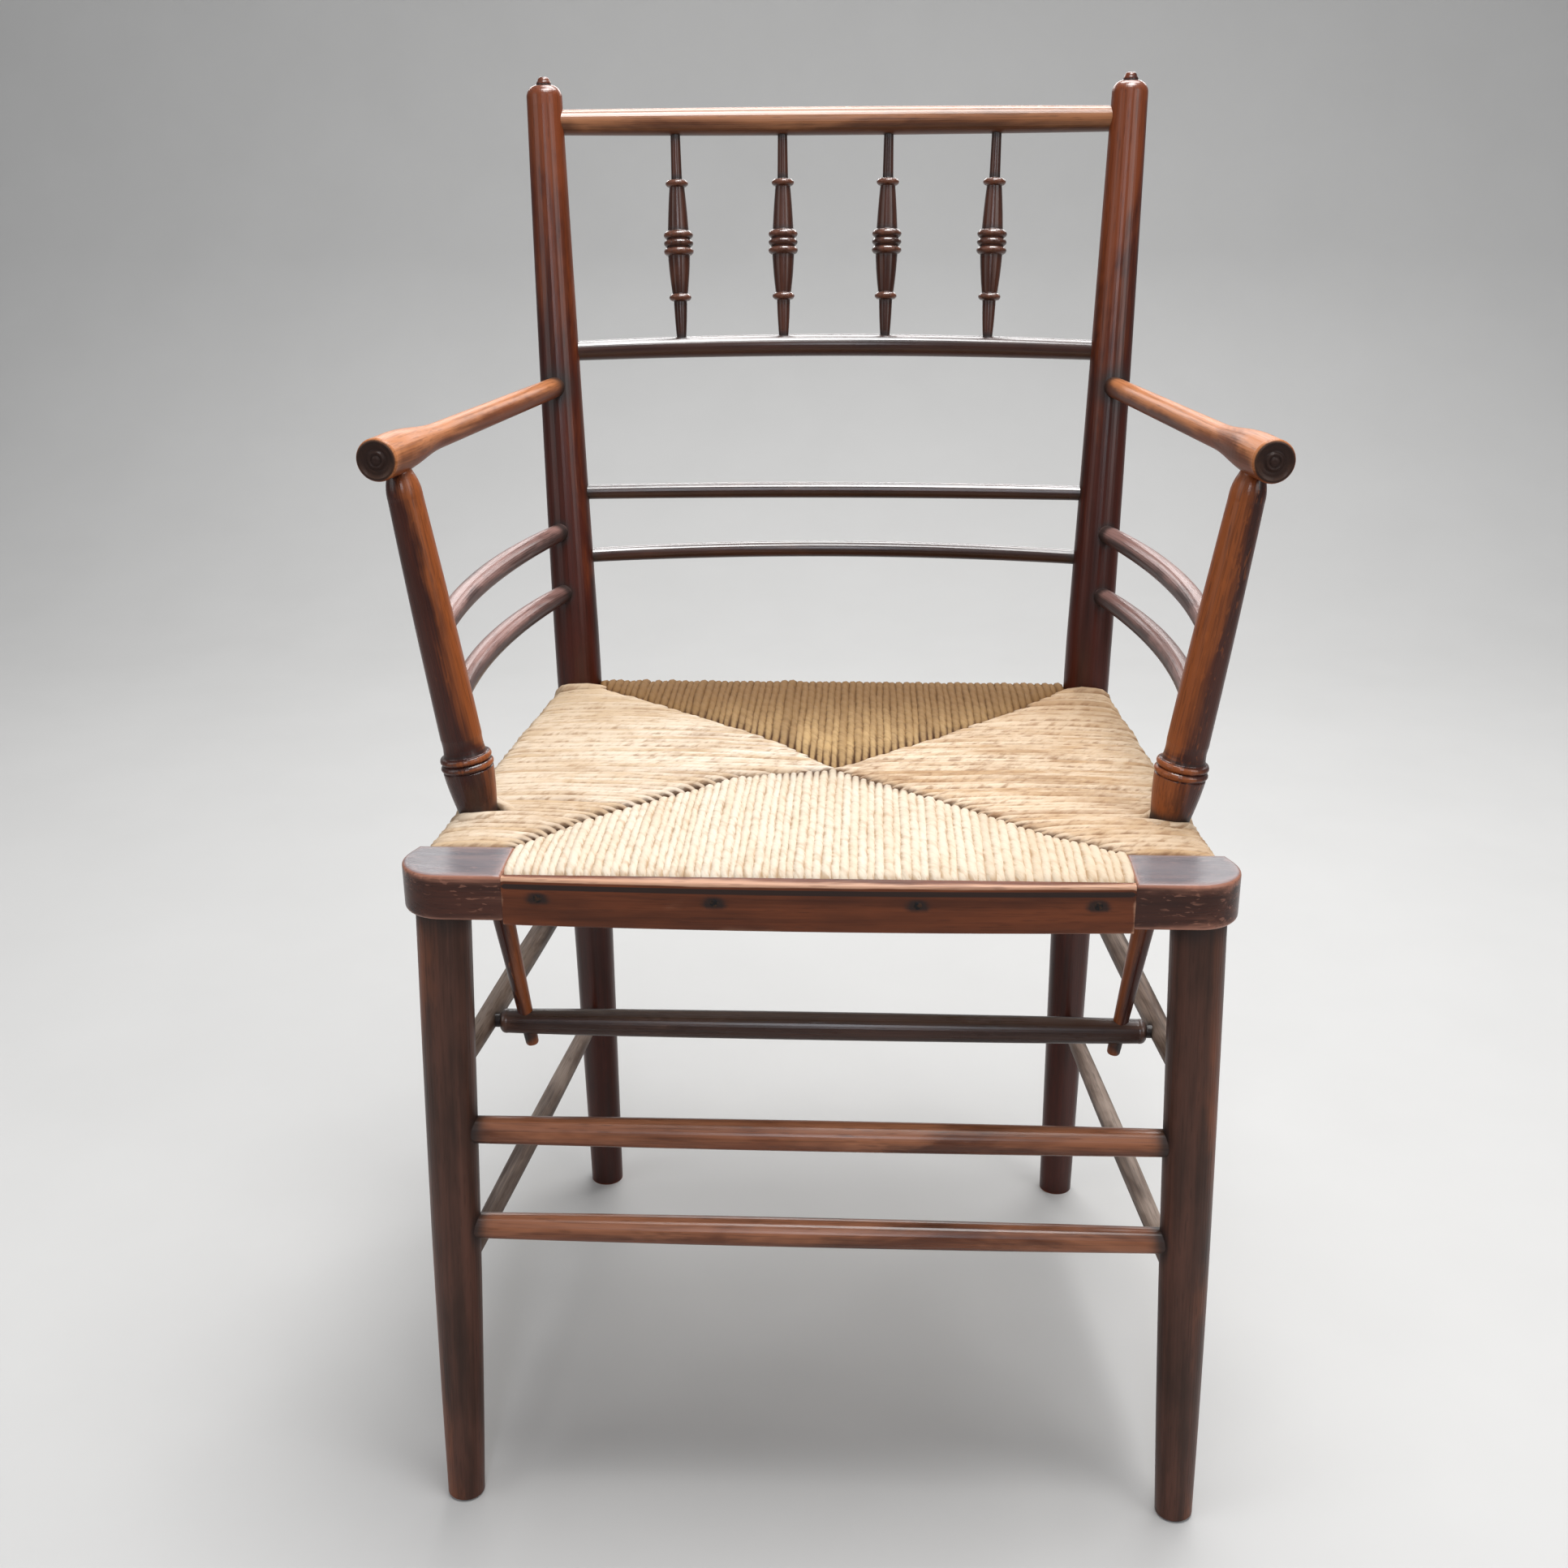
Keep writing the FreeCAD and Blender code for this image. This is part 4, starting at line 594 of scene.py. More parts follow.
stick("back_stretcher", bowed(right * LEFT, right, STRAIGHT, 11.5, 15.5), stretcher_dull, sunk=SOCKETED)


# Cross stretcher: a stout turned rod between the upper side stretchers, rounded off to a thin tenon at
# each end. The tails of the arm posts come down through it and show underneath.

# Its upper faces get a grey haze that is partly dust and partly a painted sheen for the light from above.
cross_grey = stained("cross_stretcher_stain", (0.026, 0.013, 0.01), (0.076, 0.036, 0.026),
                     (0.17, 0.088, 0.06), 0.35, gloss=0.4, bloom_and_sheen=0.3, wax=0.35)
tail = arm_post_line(UPPER_SIDE)
leg_at, post_at = leg_line(UPPER_SIDE), post_line(UPPER_SIDE)
cross_end = leg_at + (tail[1] - leg_at[1]) / (post_at[1] - leg_at[1]) * (post_at - leg_at)
span = 2.0 * cross_end[0]
cross_cuts = ((2.0, 8.0), (9.0, 8.0), (9.4, 10.5), (14.0, 15.0, 1.0), (span / 4.0, 17.0, 0.2),
              (span / 2.0, 17.5, 0.05), (span * 0.75, 17.0, 0.05), (span - 14.0, 15.0, 0.2),
              (span - 9.4, 10.5, 1.0), (span - 9.0, 8.0), (span - 2.0, 8.0))
stick("cross_stretcher", turned(cross_end * LEFT, cross_end, cross_cuts), cross_grey, sunk=(6.0, 6.0))
tail_below = np.array((tail[0], tail[1], 284.0))
for side, mirror in SIDES:
    soiled(tail_below * mirror, 0.0045, 0.003)


# Seat rails: four plain split bars that make the seat's frame. The rush is wound over them and hides them.
# The front bar is held in the corner blocks and the others are socketed into the posts.

def lofted(name, layers):
    """A closed mesh through rings of places, in millimetres."""
    count = len(layers[0])
    faces = [(ring * count + step, ring * count + (step + 1) % count,
              (ring + 1) * count + (step + 1) % count, (ring + 1) * count + step)
             for ring in range(len(layers) - 1) for step in range(count)]
    faces += [tuple(range(count))[::-1], tuple(range((len(layers) - 1) * count, len(layers) * count))]
    return meshed(name, np.concatenate(layers) / 1000.0, faces=faces)


def board(name, corners, low, high, ease, finish, grain_axis):
    """A flat piece from its outline in plan, as spread and setback, and its two heights, in millimetres,
    with edges rounded over and rubbed."""
    plan = np.array([spot(*corner, 0.0)[:2] for corner in corners])
    ahead = np.roll(plan, -1, axis=0) - plan
    lengths = norm(ahead, axis=1)
    ahead /= lengths[:, None]
    both = ahead + np.roll(ahead, 1, axis=0)
    turn = np.sign(ahead[0, 0] * -ahead[-1, 1] + ahead[0, 1] * ahead[-1, 0])
    inward = turn * np.column_stack((-both[:, 1], both[:, 0])) / (0.5 * np.sum(both ** 2, axis=1)[:, None])
    steps = [max(1, round(length / 4.0)) for length in lengths]
    side_of = np.repeat(np.arange(len(steps)), steps)
    share_of = np.concatenate([np.arange(count) / count for count in steps])
    centre = plan.mean(axis=0)
    lid = [(ease * (1.0 - math.cos(angle)), high - ease * (1.0 - math.sin(angle)),
            0.9 + 0.9 * math.sin(2.0 * angle)) for angle in np.linspace(0.0, math.pi / 2.0, 6)]
    lid += [(ease + 1.5, high, 0.5), (ease + 4.0, high, 0.0)]
    upper = [(0.0, high - ease - drop, edge) for drop, edge in ((9.0, 0.0), (4.0, 0.0), (1.5, 0.5))] + lid
    rings = [(inset, low + high - height, edge) for inset, height, edge in upper[::-1]] + upper
    layers = []
    for inset, height, edge in rings:
        shrunk = plan + inward * inset
        rim = shrunk[side_of] + share_of[:, None] * (np.roll(shrunk, -1, axis=0) - shrunk)[side_of]
        layers.append(np.column_stack((rim, np.full(len(rim), height))))
    middle = np.append(centre, high)
    for share in (0.7, 0.4, 0.12):
        layers.append(middle + share * (layers[len(rings) - 1] - middle))
    floor_middle = np.append(centre, low)
    layers = [floor_middle + share * (layers[0] - floor_middle) for share in (0.12, 0.5)] + layers
    edges = [0.0, 0.0] + [edge for inset, height, edge in rings] + [0.0, 0.0, 0.0]
    fitted(name, lofted(name, layers), np.repeat(edges, len(rim)) / 1000.0, finish, grain_axis)


def places_of(mesh):
    places = np.zeros(len(mesh.vertices) * 3)
    mesh.vertices.foreach_get("co", places)
    return places.reshape(-1, 3)


def fitted(name, mesh, rubbed, finish, grain_axis):
    """Gives a board or strip its grain, rubbed edges, smooth shading, finish and place in the chair."""
    made = bmesh.new()
    made.from_mesh(mesh)
    bmesh.ops.recalc_face_normals(made, faces=made.faces)
    made.to_mesh(mesh)
    made.free()
    lay = np.roll(places_of(mesh), 2 - grain_axis, axis=1) + (0.0, 0.0, 0.6 * (1 + len(wooden)))
    marked(mesh, "grain", lay, "FLOAT_VECTOR")
    marked(mesh, "relief", rubbed)
    mesh.shade_smooth()
    mesh.set_sharp_from_angle(angle=SHARP_ANGLE)
    mesh.materials.append(finish)
    piece = put_in(name, mesh)
    wooden.append(piece)
    stands_for(piece, "stained_wood", name)


bar_pale = stained("bar_stain", (0.12, 0.07, 0.04), (0.3, 0.19, 0.11), (0.42, 0.29, 0.18), 0.4, sheen=0.5,
                   gloss=0.2)
BAR = (408.5, 426.5, 3.0)
front_plan = ((-171.0, 13.0), (171.0, 13.0), (171.0, 29.0), (-171.0, 29.0))
back_plan = ((-170.0, 348.4), (170.0, 348.4), (170.0, 366.4), (-170.0, 366.4))
side_plan = np.array(((188.0, 44.0), (207.0, 44.0), (193.5, 340.0), (175.0, 340.0)))
board("seat_front_rail", front_plan, *BAR, bar_pale, 0)
board("seat_back_rail", back_plan, *BAR, bar_pale, 0)
for side, mirror in SIDES:
    board(f"seat_side_rail_{side}", side_plan * mirror[:2], *BAR, bar_pale, 1)


# Corner blocks: two thick beech boards that make the front corners of the seat, rounded outside and
# splayed to the sides, standing on the legs. Their edges are rubbed through to pale pink wood.

# The grey haze on the block tops is partly dust and partly a painted sheen for reflected light.
block_brown = stained("block_stain", (0.03, 0.011, 0.008), (0.08, 0.025, 0.015), (0.5, 0.225, 0.15),
                      0.29, facing_wear_and_light=(0.0, 0.0, 0.0), gloss=0.26, bloom_and_sheen=0.62, chips=0.3)
BLOCK_INSIDE = 172.0
BLOCK_OUTSIDE = 231.7
BLOCK_DEPTH = 43.0
ROUNDING = 25.0
block_round = [(BLOCK_OUTSIDE - ROUNDING + ROUNDING * math.sin(turn),
                ROUNDING - ROUNDING * math.cos(turn))
               for turn in np.linspace(0.0, math.radians(110.0), 15)]
block_tail = block_round[-1][0] - (BLOCK_DEPTH - block_round[-1][1]) * math.tan(math.radians(20.0))
block_plan = np.array([(BLOCK_INSIDE, 0.0), *block_round, (block_tail, BLOCK_DEPTH),
                       (BLOCK_INSIDE, BLOCK_DEPTH)])
for side, mirror in SIDES:
    plan = block_plan * mirror[:2]
    board(f"corner_block_{side}", plan, LEG_HEIGHT, SEAT_HEIGHT, 2.2, block_brown, 0)


# Rush seat: twisted rushes wound strand by strand over the four rails, so that four fields meet in seams
# from the corners to the middle. The strands are dry and stiff, cream to golden brown, and stuffed with
# chopped rush inside.

SEAM_SHADE_BROWN = (0.075, 0.032, 0.014)


def rush(name, pale, gold, brown, wild, back_and_side_gold):
    """Dry twisted rush: fibres that wind round each strand, strands of differing age, flecks, painted shade
    in the twist between plies and on the flanks of the strands, and painted shadow where a strand dives
    into a seam. wild is how much the strands and flecks differ, from 0 to 1, and back_and_side_gold how
    much golder the field turns towards the back, partly as painted shade, and towards one side, where less
    than 0 is the left side."""
    finish, start, shade = surface(name)
    lay = start.attribute("lay", "Vector")
    run = start.attribute("run")
    strand = start.attribute("strand")
    seam_shade = start.attribute("seam_shade")
    up = start.node("ShaderNodeNewGeometry", out="Normal").part(2)
    place = start.node("ShaderNodeTexCoord", out="Object")
    spread, depth = (place.part(axis) for axis in (0, 1))
    parts = [lay.part(axis) for axis in (0, 1)]
    wind = run * 210.0 + strand * 60.0
    wind_cosine = wind.math("COSINE")
    wind_sine = wind.math("SINE")
    ply = parts[0] * wind_cosine - parts[1] * wind_sine
    cross_ply = parts[0] * wind_sine + parts[1] * wind_cosine
    ply_side = ply.math("ABSOLUTE")
    fibres = start.point(ply * 3.5, cross_ply * 3.5, run * 30.0 + strand * 97.0).noise(3.0, 0.65)
    ages = start.point(strand * 77.0, run * 9.0).noise(3.0, 0.6)
    flecks = start.point(strand * 177.0 + ply * 0.7, run * 95.0, cross_ply * 0.7).noise(3.0, 0.6)
    stains = place.stretch(55.0, 130.0, 30.0).noise(4.0, 0.65, 0.4)
    clouds = place.stretch(16.0, 30.0, 10.0).noise(3.0, 0.6, 0.3)
    colour = (ages.between(0.34, 0.64) * wild + (1.0 - wild)).tint(gold, pale)
    colour = (strand.between(0.8, 1.0) * 0.5 * wild).tint(colour, brown)
    colour = (fibres.between(0.5, 0.8) * (0.15 + 0.3 * wild)).tint(colour, gold)
    colour = (flecks.between(0.5, 0.7) * (0.12 + 0.5 * wild)).tint(colour, brown)
    colour = ((0.6 * stains + 0.4 * clouds).between(0.48, 0.66) * 0.5 * wild).tint(colour, brown)
    colour = ((0.5 * stains + 0.5 * clouds).between(0.5, 0.34) * 0.75 * wild).tint(colour, pale)
    # Golder towards the back, partly as painted shade on the back field, and towards one side.
    colour = (depth.between(-0.03, 0.1) * back_and_side_gold[0]).tint(colour, gold)
    colour = ((spread * math.copysign(1.0, back_and_side_gold[1])).between(0.03, 0.2) * abs(back_and_side_gold[1])).tint(colour, gold)
    # Painted shade in the twist between the plies.
    colour = ((1 - ply_side.between(0.0, 0.3)) * (0.1 + 0.25 * wild)).tint(colour, gold)
    # Brown flecks on the flanks of the strands: painted shade between strands.
    flank_shade = 1 - up.between(0.66, 0.97)
    colour = (flank_shade * flecks.between(0.42, 0.6) * 0.55).tint(colour, brown)
    # Painted shadow where strands dive into a seam and beside it.
    colour = (seam_shade.between(0.15, 0.7) * (0.2 + 0.8 * flank_shade)).tint(colour, SEAM_SHADE_BROWN)
    colour.feed(shade, "Base Color")
    (0.55 + 0.25 * fibres).feed(shade, "Roughness")
    settle(shade, {"Specular IOR Level": 0.16})
    (0.6 * ply_side + 0.5 * fibres).bump(shade, 0.55, 0.0009)
    return finish


winding, wound = tree_of("wound strands", Lines="Geometry", Sides="Int", Finish="Material")
lines = wound["Lines"].node("GeometryNodeMeshToCurve", {"Mesh": wound["Lines"]})
lines = lines.stored("run", lines.node("GeometryNodeSplineParameter", out="Length"))
ring = lines.node("GeometryNodeCurvePrimitiveCircle", {"Resolution": wound["Sides"], "Radius": 1.0})
ring = ring.stored("lay", ring.node("GeometryNodeInputPosition"), "FLOAT_VECTOR")
thick = lines.node("GeometryNodeInputNamedAttribute", {"Name": "girth"}, data_type="FLOAT")
sockets = {"Curve": lines, "Profile Curve": ring, "Scale": thick, "Fill Caps": True}
tubes = lines.node("GeometryNodeCurveToMesh", sockets)
tubes = tubes.node("GeometryNodeSetShadeSmooth", {"Geometry": tubes})
close_tree(tubes, wound["Finish"])

FRONT_SEAM = ((-172.0, 46.0), (-125.0, 97.0), (-53.0, 161.0), (6.0, 178.0), (79.0, 118.0), (129.0, 73.0),
              (172.0, 46.0))
BACK_SEAM = ((-163.0, 343.0), (-80.0, 273.0), (-27.0, 223.0), (6.0, 178.0), (85.0, 252.0), (129.0, 299.0),
             (166.0, 346.0))
LEFT_SEAM = [*FRONT_SEAM[:4], *reversed(BACK_SEAM[:3])]
RIGHT_SEAM = [*reversed(FRONT_SEAM[3:]), *BACK_SEAM[4:]]
DEEP_RISE = [(-6.0, 421.0), (-4.0, 424.2), (-2.0, 426.4), (0.5, 427.8), (3.5, 428.5), (7.0, 428.7)]
PLAIN_RISE = [(-4.0, 421.5), (-1.5, 425.2), (1.2, 427.3), (5.0, 428.4)]
ROUND_RAIL = ((9.0, 428.4), (5.0, 427.6), (2.0, 425.7), (0.4, 421.8), (0.0, 417.3), (0.4, 412.8),
              (2.0, 408.9), (5.0, 406.4), (9.0, 405.4))
RETURN = [(5.0, 405.6), (1.2, 406.7), (-1.5, 409.0), (-4.0, 412.5)]
dice = np.random.default_rng(7)


def round_sticks(spread, setback):
    """Moves a strand's place clear of the arm posts and back posts; also how far it was moved."""
    moved = 0.0
    for centre, radius, forward in ((ARM_POST_PLAN, 14.0, False), (POST_SEAT, 18.9, True)):
        off = abs(spread) - centre[0]
        if abs(off) < radius:
            room = math.sqrt(radius ** 2 - off ** 2)
            if abs(setback - centre[1]) < room:
                ahead = forward or setback < centre[1]
                cleared = centre[1] - room if ahead else centre[1] + room
                moved = max(moved, abs(cleared - setback))
                setback = cleared
    return setback, moved


def strand_line(seam, rim, pitch, hook=0.0, gap=0.0):
    """One strand: up out of the seam, over the top, round the rail and back underneath to the seam. hook is
    how far its end is pulled forwards where it dives into the seam, and gap how far from the seam a painted
    shadow line shows beside it. Gives its places, thicknesses and hollows, which also set the painted seam
    shade."""
    seam, rim = np.array(seam), np.array(rim)
    length = norm(rim - seam)
    out = (rim - seam) / length
    across = np.array((-out[1], out[0]))
    crown = 2.2 * min(1.0, length / 90.0)
    middle = np.arange(14.0, length - 13.0, 9.0)
    lift = dice.normal(0.0, 0.2)
    top = DEEP_RISE if hook else PLAIN_RISE
    top = top + [(u, 428.3 + lift + crown * math.sin(math.pi * u / length)) for u in middle]
    turn = [(length - inset, height) for inset, height in ROUND_RAIL]
    under = [(u, 405.2) for u in middle[::-2]] + RETURN
    phase = dice.uniform(0.0, math.tau, 2)
    line, hollows = [], []
    for u, height in top + turn + under:
        wander = 0.25 * math.sin(u / 17.0 + phase[0]) + 0.15 * math.sin(u / 7.0 + phase[1])
        dive = max(0.0, 1.0 - (u + 6.0) / 17.0) if hook else max(0.0, 1.0 - (u + 4.0) / 10.0)
        spread, setback = seam + out * u + across * wander - (0.0, hook * dive ** 3)
        setback, moved = round_sticks(spread, setback)
        hump = min(3.0, 0.35 * moved) if height > 417.0 else 0.0
        line.append(spot(spread, setback, height + hump))
        hollows.append(max(dive, 0.72 * (1.0 - u / gap)) if gap else dive)
    girths = 0.68 * pitch * (1.0 + 0.05 * np.sin(np.arange(len(line)) * dice.uniform(0.5, 1.2) + phase[0]))
    girths *= 1.0 - 0.1 * np.array(hollows)
    return np.array(line), girths, hollows


def rush_field(name, lines, finish):
    """Winds one field of strands and stands it for the seat's rush."""
    places, edges, girths, hollows, ages = [], [], [], [], []
    for line, girth, seam_shade in lines:
        first = len(places)
        edges += [(first + step, first + step + 1) for step in range(len(line) - 1)]
        places += list(line / 1000.0)
        girths += list(girth / 1000.0)
        hollows += seam_shade
        ages += [dice.uniform(0.0, 1.0)] * len(line)
    carrier = meshed(name, places, edges)
    marked(carrier, "girth", girths)
    marked(carrier, "seam_shade", hollows)
    marked(carrier, "strand", ages)
    piece = shaped(name, carrier, winding, Sides=9, Finish=finish)
    stands_for(piece, "rush", "rush_seat")


rush_cream = rush("rush_cream", (0.68, 0.595, 0.485), (0.59, 0.44, 0.28), (0.38, 0.22, 0.1),
                  0.35, (0.1, 0.5))
rush_gold = rush("rush_gold", (0.76, 0.66, 0.545), (0.55, 0.4, 0.255), (0.3, 0.18, 0.1),
                 1.0, (0.5, -0.4))
rush_tan = rush("rush_tan", (0.74, 0.6, 0.45), (0.49, 0.32, 0.18), (0.25, 0.13, 0.062),
                1.0, (0.45, 0.3))
# The back field is darker and browner: partly older rush, partly painted shade.
rush_olive_and_shade = rush("rush_olive_and_shade", (0.55, 0.365, 0.17), (0.185, 0.094, 0.031), (0.1, 0.047, 0.017),
                  0.45, (0.95, 0.05))
PITCH = 4.85


def spaced(first, last):
    """Uneven places of strands from a first to a last one, each with the room it takes."""
    rooms = dice.normal(1.0, 0.11, round((last - first) / PITCH) + 1)
    rooms *= (last - first + PITCH) / rooms.sum()
    return zip(first - PITCH / 2.0 + np.cumsum(rooms) - rooms / 2.0, rooms)


front_lines = []
for x, room in spaced(-169.6, 169.6):
    tuck = np.interp(x, (-165.0, -140.0, -30.0, 0.0), (0.0, 3.0, 3.0, 0.0))
    # gap: how far a painted shadow line runs out from the seam beside this strand.
    gap = np.interp(abs(x - 5.0), (0.0, 70.0), (48.0, 0.0)) * dice.uniform(0.3, 1.0)
    front_lines.append(strand_line((x, np.interp(x, *zip(*FRONT_SEAM)) + tuck), (x, 8.3), room, gap=gap))
rush_field("rush_front", front_lines, rush_cream)
back_lines = []
for x, room in spaced(-165.4, 165.4):
    gap = np.interp(abs(x - 5.0), (0.0, 110.0), (95.0, 10.0)) * dice.uniform(0.4, 1.0)
    back_lines.append(strand_line((x, np.interp(x, *zip(*BACK_SEAM))), (x, 369.2), room, gap=gap))
rush_field("rush_back", back_lines, rush_olive_and_shade)
for hand, seam, side, finish, hook in ((-1.0, LEFT_SEAM, "left", rush_gold, 12.0),
                                       (1.0, RIGHT_SEAM, "right", rush_tan, 4.0)):
    seam_spread, seam_setback = zip(*sorted(seam, key=lambda place: place[1]))
    lines = []
    for setback, room in spaced(46.2, 347.0):
        pull = hook * np.interp(setback, (46.0, 70.0, 150.0, 180.0), (0.3, 1.0, 1.0, 0.0))
        seam_end = (np.interp(setback - 0.65 * pull, seam_setback, seam_spread), setback)
        rim = (hand * np.interp(setback, (43.0, 341.0), (222.3, 198.5)), setback)
        lines.append(strand_line(seam_end, rim, room, pull))
    rush_field(f"rush_{side}", lines, finish)


# Front strip: a thin beech facing, slightly bowed, that hides the rush on the front rail between the
# corner blocks. Its lip is worn pale and painted paler still as a highlight, with a painted shadow line
# under it, and iron has bled round the four nails that hold it.

STRIP_HALF = 171.9
STRIP_BOW = 4.0
STRIP_BACK = 5.0
STRIP_LIP = 2.0


def strip_setback(spread):
    """The setback of the strip's bowed face."""
    return -STRIP_BOW * (1.0 - (spread / STRIP_HALF) ** 2)


# Its pale colour shows mainly on the lip, as wear and as a painted highlight.
strip_brown = stained("strip_stain", (0.066, 0.019, 0.009), (0.178, 0.048, 0.018), (0.84, 0.5, 0.33),
                      0.08, facing_wear_and_light=(0.0, 0.0, 0.0), sheen=0.2, gloss=0.2)
strip_lip = [(STRIP_LIP - STRIP_LIP * math.sin(turn), 428.0 + STRIP_LIP * math.cos(turn))
             for turn in np.linspace(0.0, math.pi / 2.0, 7)]
strip_face = [(0.0, height) for height in (426.6, 425.4, 424.4, 423.2, 420.5, 417.0, 413.5, 410.0, 406.5)]
strip_foot = [(STRIP_LIP - STRIP_LIP * math.cos(turn), 403.5 - STRIP_LIP * math.sin(turn))
              for turn in np.linspace(0.0, math.pi / 2.0, 5)]
# Edge values: the lip's make it worn pale and also paint a highlight on it; the negative ones just under
# the lip paint a dark shadow line.
strip_edges = [2.0, 2.6, 3.0, 3.0, 2.8, 2.2, 0.8, -1.2, -2.4, -1.8, -0.5, 0.0, 0.0, 0.0, 0.0, 0.0,
               0.3, 0.6, 0.8, 0.6, 0.3, 0.0, 0.0]
sections, strip_wear_and_shadow = [], []
for x in np.linspace(-STRIP_HALF, STRIP_HALF, 175):
    face = strip_setback(x)
    section = [spot(x, face + inset, height) for inset, height in strip_lip + strip_face + strip_foot]
    section += [spot(x, STRIP_BACK, height) for height in (401.5, 430.0)]
    sections.append(section)
    end_wear = 1.2 if abs(x) > 171.0 else 0.0
    strip_wear_and_shadow += [edge + end_wear for edge in strip_edges]
fitted("front_strip", lofted("front_strip", sections), np.array(strip_wear_and_shadow) / 1000.0, strip_brown, 0)


# Strip nails: four hand-made iron nails that hold the strip to the front rail. Their small uneven heads
# are hammered just proud of the wood and have gone dark.

def iron(name):
    """Oxidised iron: near black, with brown rust in the hollows and a dull shine on the hammered spots."""
    finish, start, shade = surface(name)
    place = start.node("ShaderNodeTexCoord", out="Object")
    scale = place.stretch(900.0, 900.0, 900.0).noise(3.0, 0.6)
    rust = place.stretch(420.0, 420.0, 420.0).noise(2.0, 0.5).between(0.45, 0.65)
    rust.tint((0.012, 0.01, 0.01), (0.055, 0.026, 0.014)).feed(shade, "Base Color")
    (0.4 + 0.35 * scale).feed(shade, "Roughness")
    settle(shade, {"Metallic": 0.6})
    scale.bump(shade, 0.4, 0.0003)
    return finish


nailing, driven = tree_of("driven nails", Places="Geometry", Head="Float", Seed="Int", Finish="Material")
dome = driven["Places"].node("GeometryNodeMeshUVSphere", {"Segments": 16, "Rings": 9, "Radius": 1.0})
dome_skin = dome.node("GeometryNodeInputPosition")
dented = dome_skin.scaled(0.86 + 0.28 * dome_skin.noise(1.0))
dome = dome.node("GeometryNodeSetPosition", {"Geometry": dome, "Position": dented})
dome = dome.node("GeometryNodeSetShadeSmooth", {"Geometry": dome})
flat = dome.point(driven["Head"], driven["Head"] * 0.35, driven["Head"])
turns = {"Min": (0.0, 0.0, 0.0), "Max": (0.0, math.tau, 0.0), "Seed": driven["Seed"]}
spin = dome.node("FunctionNodeRandomValue", turns, data_type="FLOAT_VECTOR")
sockets = {"Points": driven["Places"], "Instance": dome, "Rotation": spin, "Scale": flat}
heads = dome.node("GeometryNodeInstanceOnPoints", sockets)
close_tree(heads, driven["Finish"])
nail_places = [spot(x, strip_setback(x) + 0.3, 418.5) / 1000.0 for x in (-152.0, -55.0, 55.0, 152.0)]
carrier = meshed("strip_nails", nail_places)
nails = shaped("strip_nails", carrier, nailing, Head=0.0025, Seed=3, Finish=iron("nail_iron"))
stands_for(nails, "nail_iron", "strip_nails")
for place in nail_places:
    for shift in np.linspace(-0.0065, 0.0065, 9):
        joints.append((*(place + (shift, 0.0, 0.0)), 0.0028 - 0.3 * abs(shift), 0.0011))


# Dirt: dark wax and dust, gathered over the years where sticks meet. It lies in a ring round each socket,
# along the end of each stick and beside each nail.

joint_places = np.array(joints)
for piece in wooden:
    away = norm(places_of(piece.data)[:, None] - joint_places[:, :3], axis=2) - joint_places[:, 3]
    marked(piece.data, "grime", np.exp(-np.maximum(away, 0.0) / joint_places[:, 4]).max(axis=1))


# Floor: one wide sheet of pale matt paper that the chair stands on. It lies flat in front and under the
# chair and rises in a smooth sweep behind it.

paper, start, shade = surface("floor_paper")
fibre = start.node("ShaderNodeTexCoord", out="Object").stretch(6.0, 6.0, 6.0).noise(4.0)
fibre.tint((0.55, 0.545, 0.535), (0.59, 0.585, 0.575)).feed(shade, "Base Color")
settle(shade, {"Roughness": 0.9, "Specular IOR Level": 0.1})
SWEEP_START = 1.6
SWEEP_ROUND = 1.2
sweep = [(-4.0, 0.0), (SWEEP_START, 0.0)]
sweep += [(SWEEP_START + SWEEP_ROUND * math.sin(turn), SWEEP_ROUND - SWEEP_ROUND * math.cos(turn))
          for turn in np.linspace(0.05, math.pi / 2.0, 24)]
sweep.append((2.8, 4.0))
floor_places = [(side, back, height) for back, height in sweep for side in (-5.0, 5.0)]
floor_faces = [(step, step + 1, step + 3, step + 2) for step in range(0, 2 * len(sweep) - 2, 2)]
floor_mesh = meshed("floor", floor_places, faces=floor_faces)
floor_mesh.shade_smooth()
floor_mesh.materials.append(paper)
floor = put_in("floor", floor_mesh)


# Light: a wide soft box overhead gives most of it, with one high behind the chair, a weaker one on each
# side, a long one at the back and a narrow cool one in front. A dim room fills the shadows.

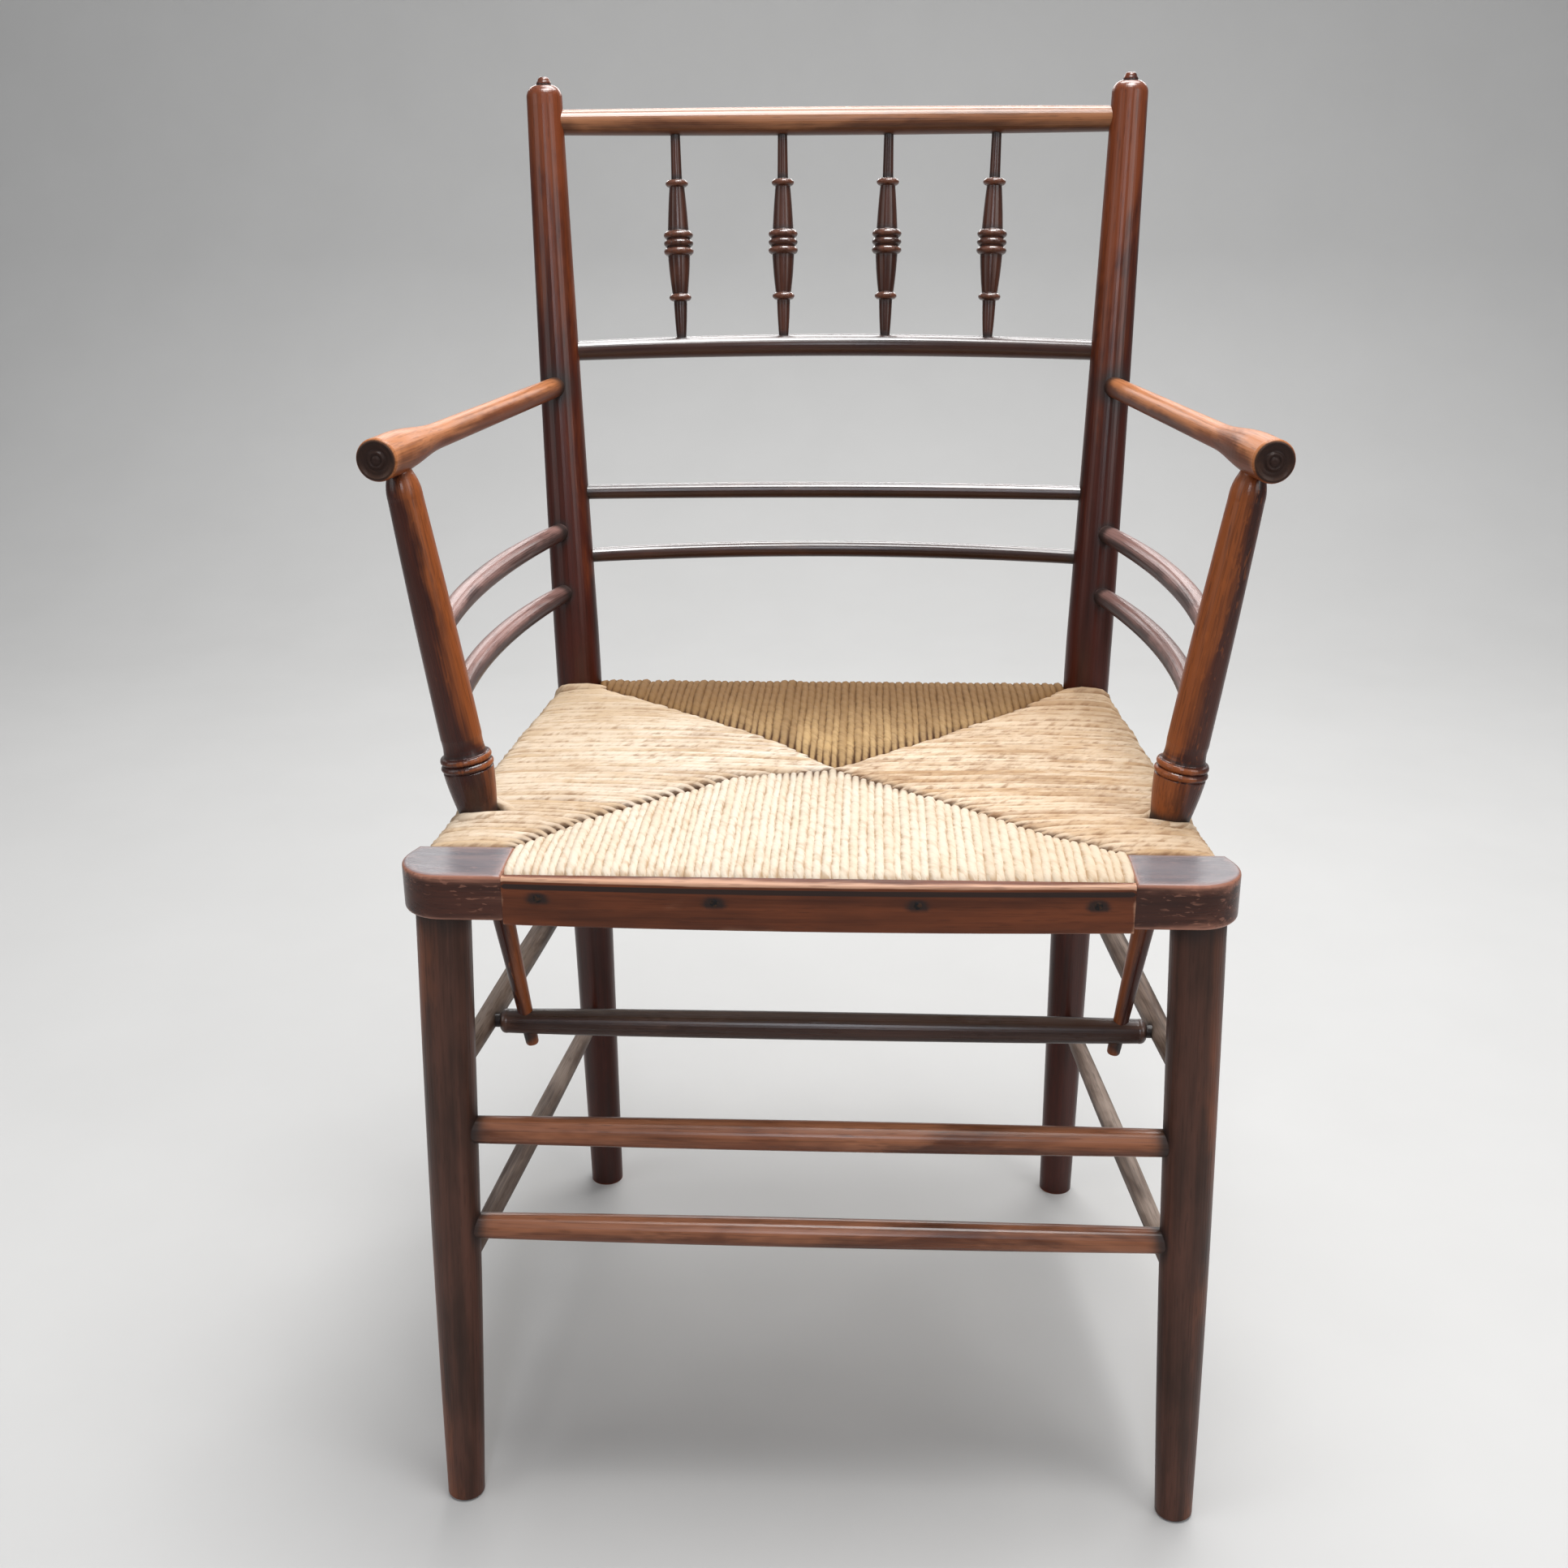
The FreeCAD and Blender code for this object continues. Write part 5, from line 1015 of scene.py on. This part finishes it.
def soft_box(name, place, aim, width, height, power, colour=(1.0, 1.0, 1.0)):
    lamp = bpy.data.lights.new(name, "AREA")
    lamp.shape = "RECTANGLE"
    lamp.size = width
    lamp.size_y = height
    lamp.energy = power
    lamp.color = colour
    box = put_in(name, lamp)
    box.location = place
    box.visible_camera = False
    box.rotation_euler = (Vector(aim) - Vector(place)).to_track_quat("-Z", "Y").to_euler()


soft_box("overhead_box", (0.25, -0.2, 2.55), (0.0, 0.0, 0.5), 1.3, 0.9, 48.0)
soft_box("rear_box", (0.3, 1.1, 2.35), (0.0, 0.1, 0.6), 1.6, 0.7, 28.0)
soft_box("right_box", (1.9, -1.5, 1.5), (0.0, 0.0, 0.45), 1.2, 1.5, 15.0)
soft_box("left_box", (-2.1, -1.0, 1.3), (0.0, 0.0, 0.45), 1.2, 1.6, 8.0)
soft_box("back_box", (0.0, 2.3, 1.45), (0.0, 0.0, 0.6), 2.6, 0.3, 15.0)
soft_box("front_box", (-0.05, -2.5, 1.7), (0.0, 0.0, 0.55), 0.28, 1.2, 10.0, (0.88, 0.92, 1.0))
room = bpy.data.worlds.new("room")
room.use_nodes = True
settle(room.node_tree.nodes["Background"], {"Color": (0.92, 0.95, 1.0, 1.0), "Strength": 0.22})
bpy.context.scene.world = room
bpy.context.scene.view_settings.view_transform = "Standard"


# Camera: a plain lens about a metre in front of the chair, as high as its crest rail and a little right of
# the middle. It is turned down towards the seat.

SENSOR = 36.0
FOCAL_PIXELS = 2157.38
PICTURE_PIXELS = 1932.0
EYE = (0.02702, -1.0992, 0.81092)
yaw, pitch, roll = 0.05055, 0.35802, -0.00728
level = Vector((math.cos(yaw), math.sin(yaw), 0.0))
rise = Vector((-math.sin(yaw) * math.sin(pitch), math.cos(yaw) * math.sin(pitch), math.cos(pitch)))
right_axis = math.cos(roll) * level + math.sin(roll) * rise
up_axis = math.cos(roll) * rise - math.sin(roll) * level
view = bpy.data.cameras.new("view")
view.lens = SENSOR * FOCAL_PIXELS / PICTURE_PIXELS
view.sensor_width = SENSOR
eye = put_in("view", view)
turning = Matrix((right_axis, up_axis, right_axis.cross(up_axis))).transposed()
eye.matrix_world = Matrix.Translation(EYE) @ turning.to_4x4()
bpy.context.scene.camera = eye
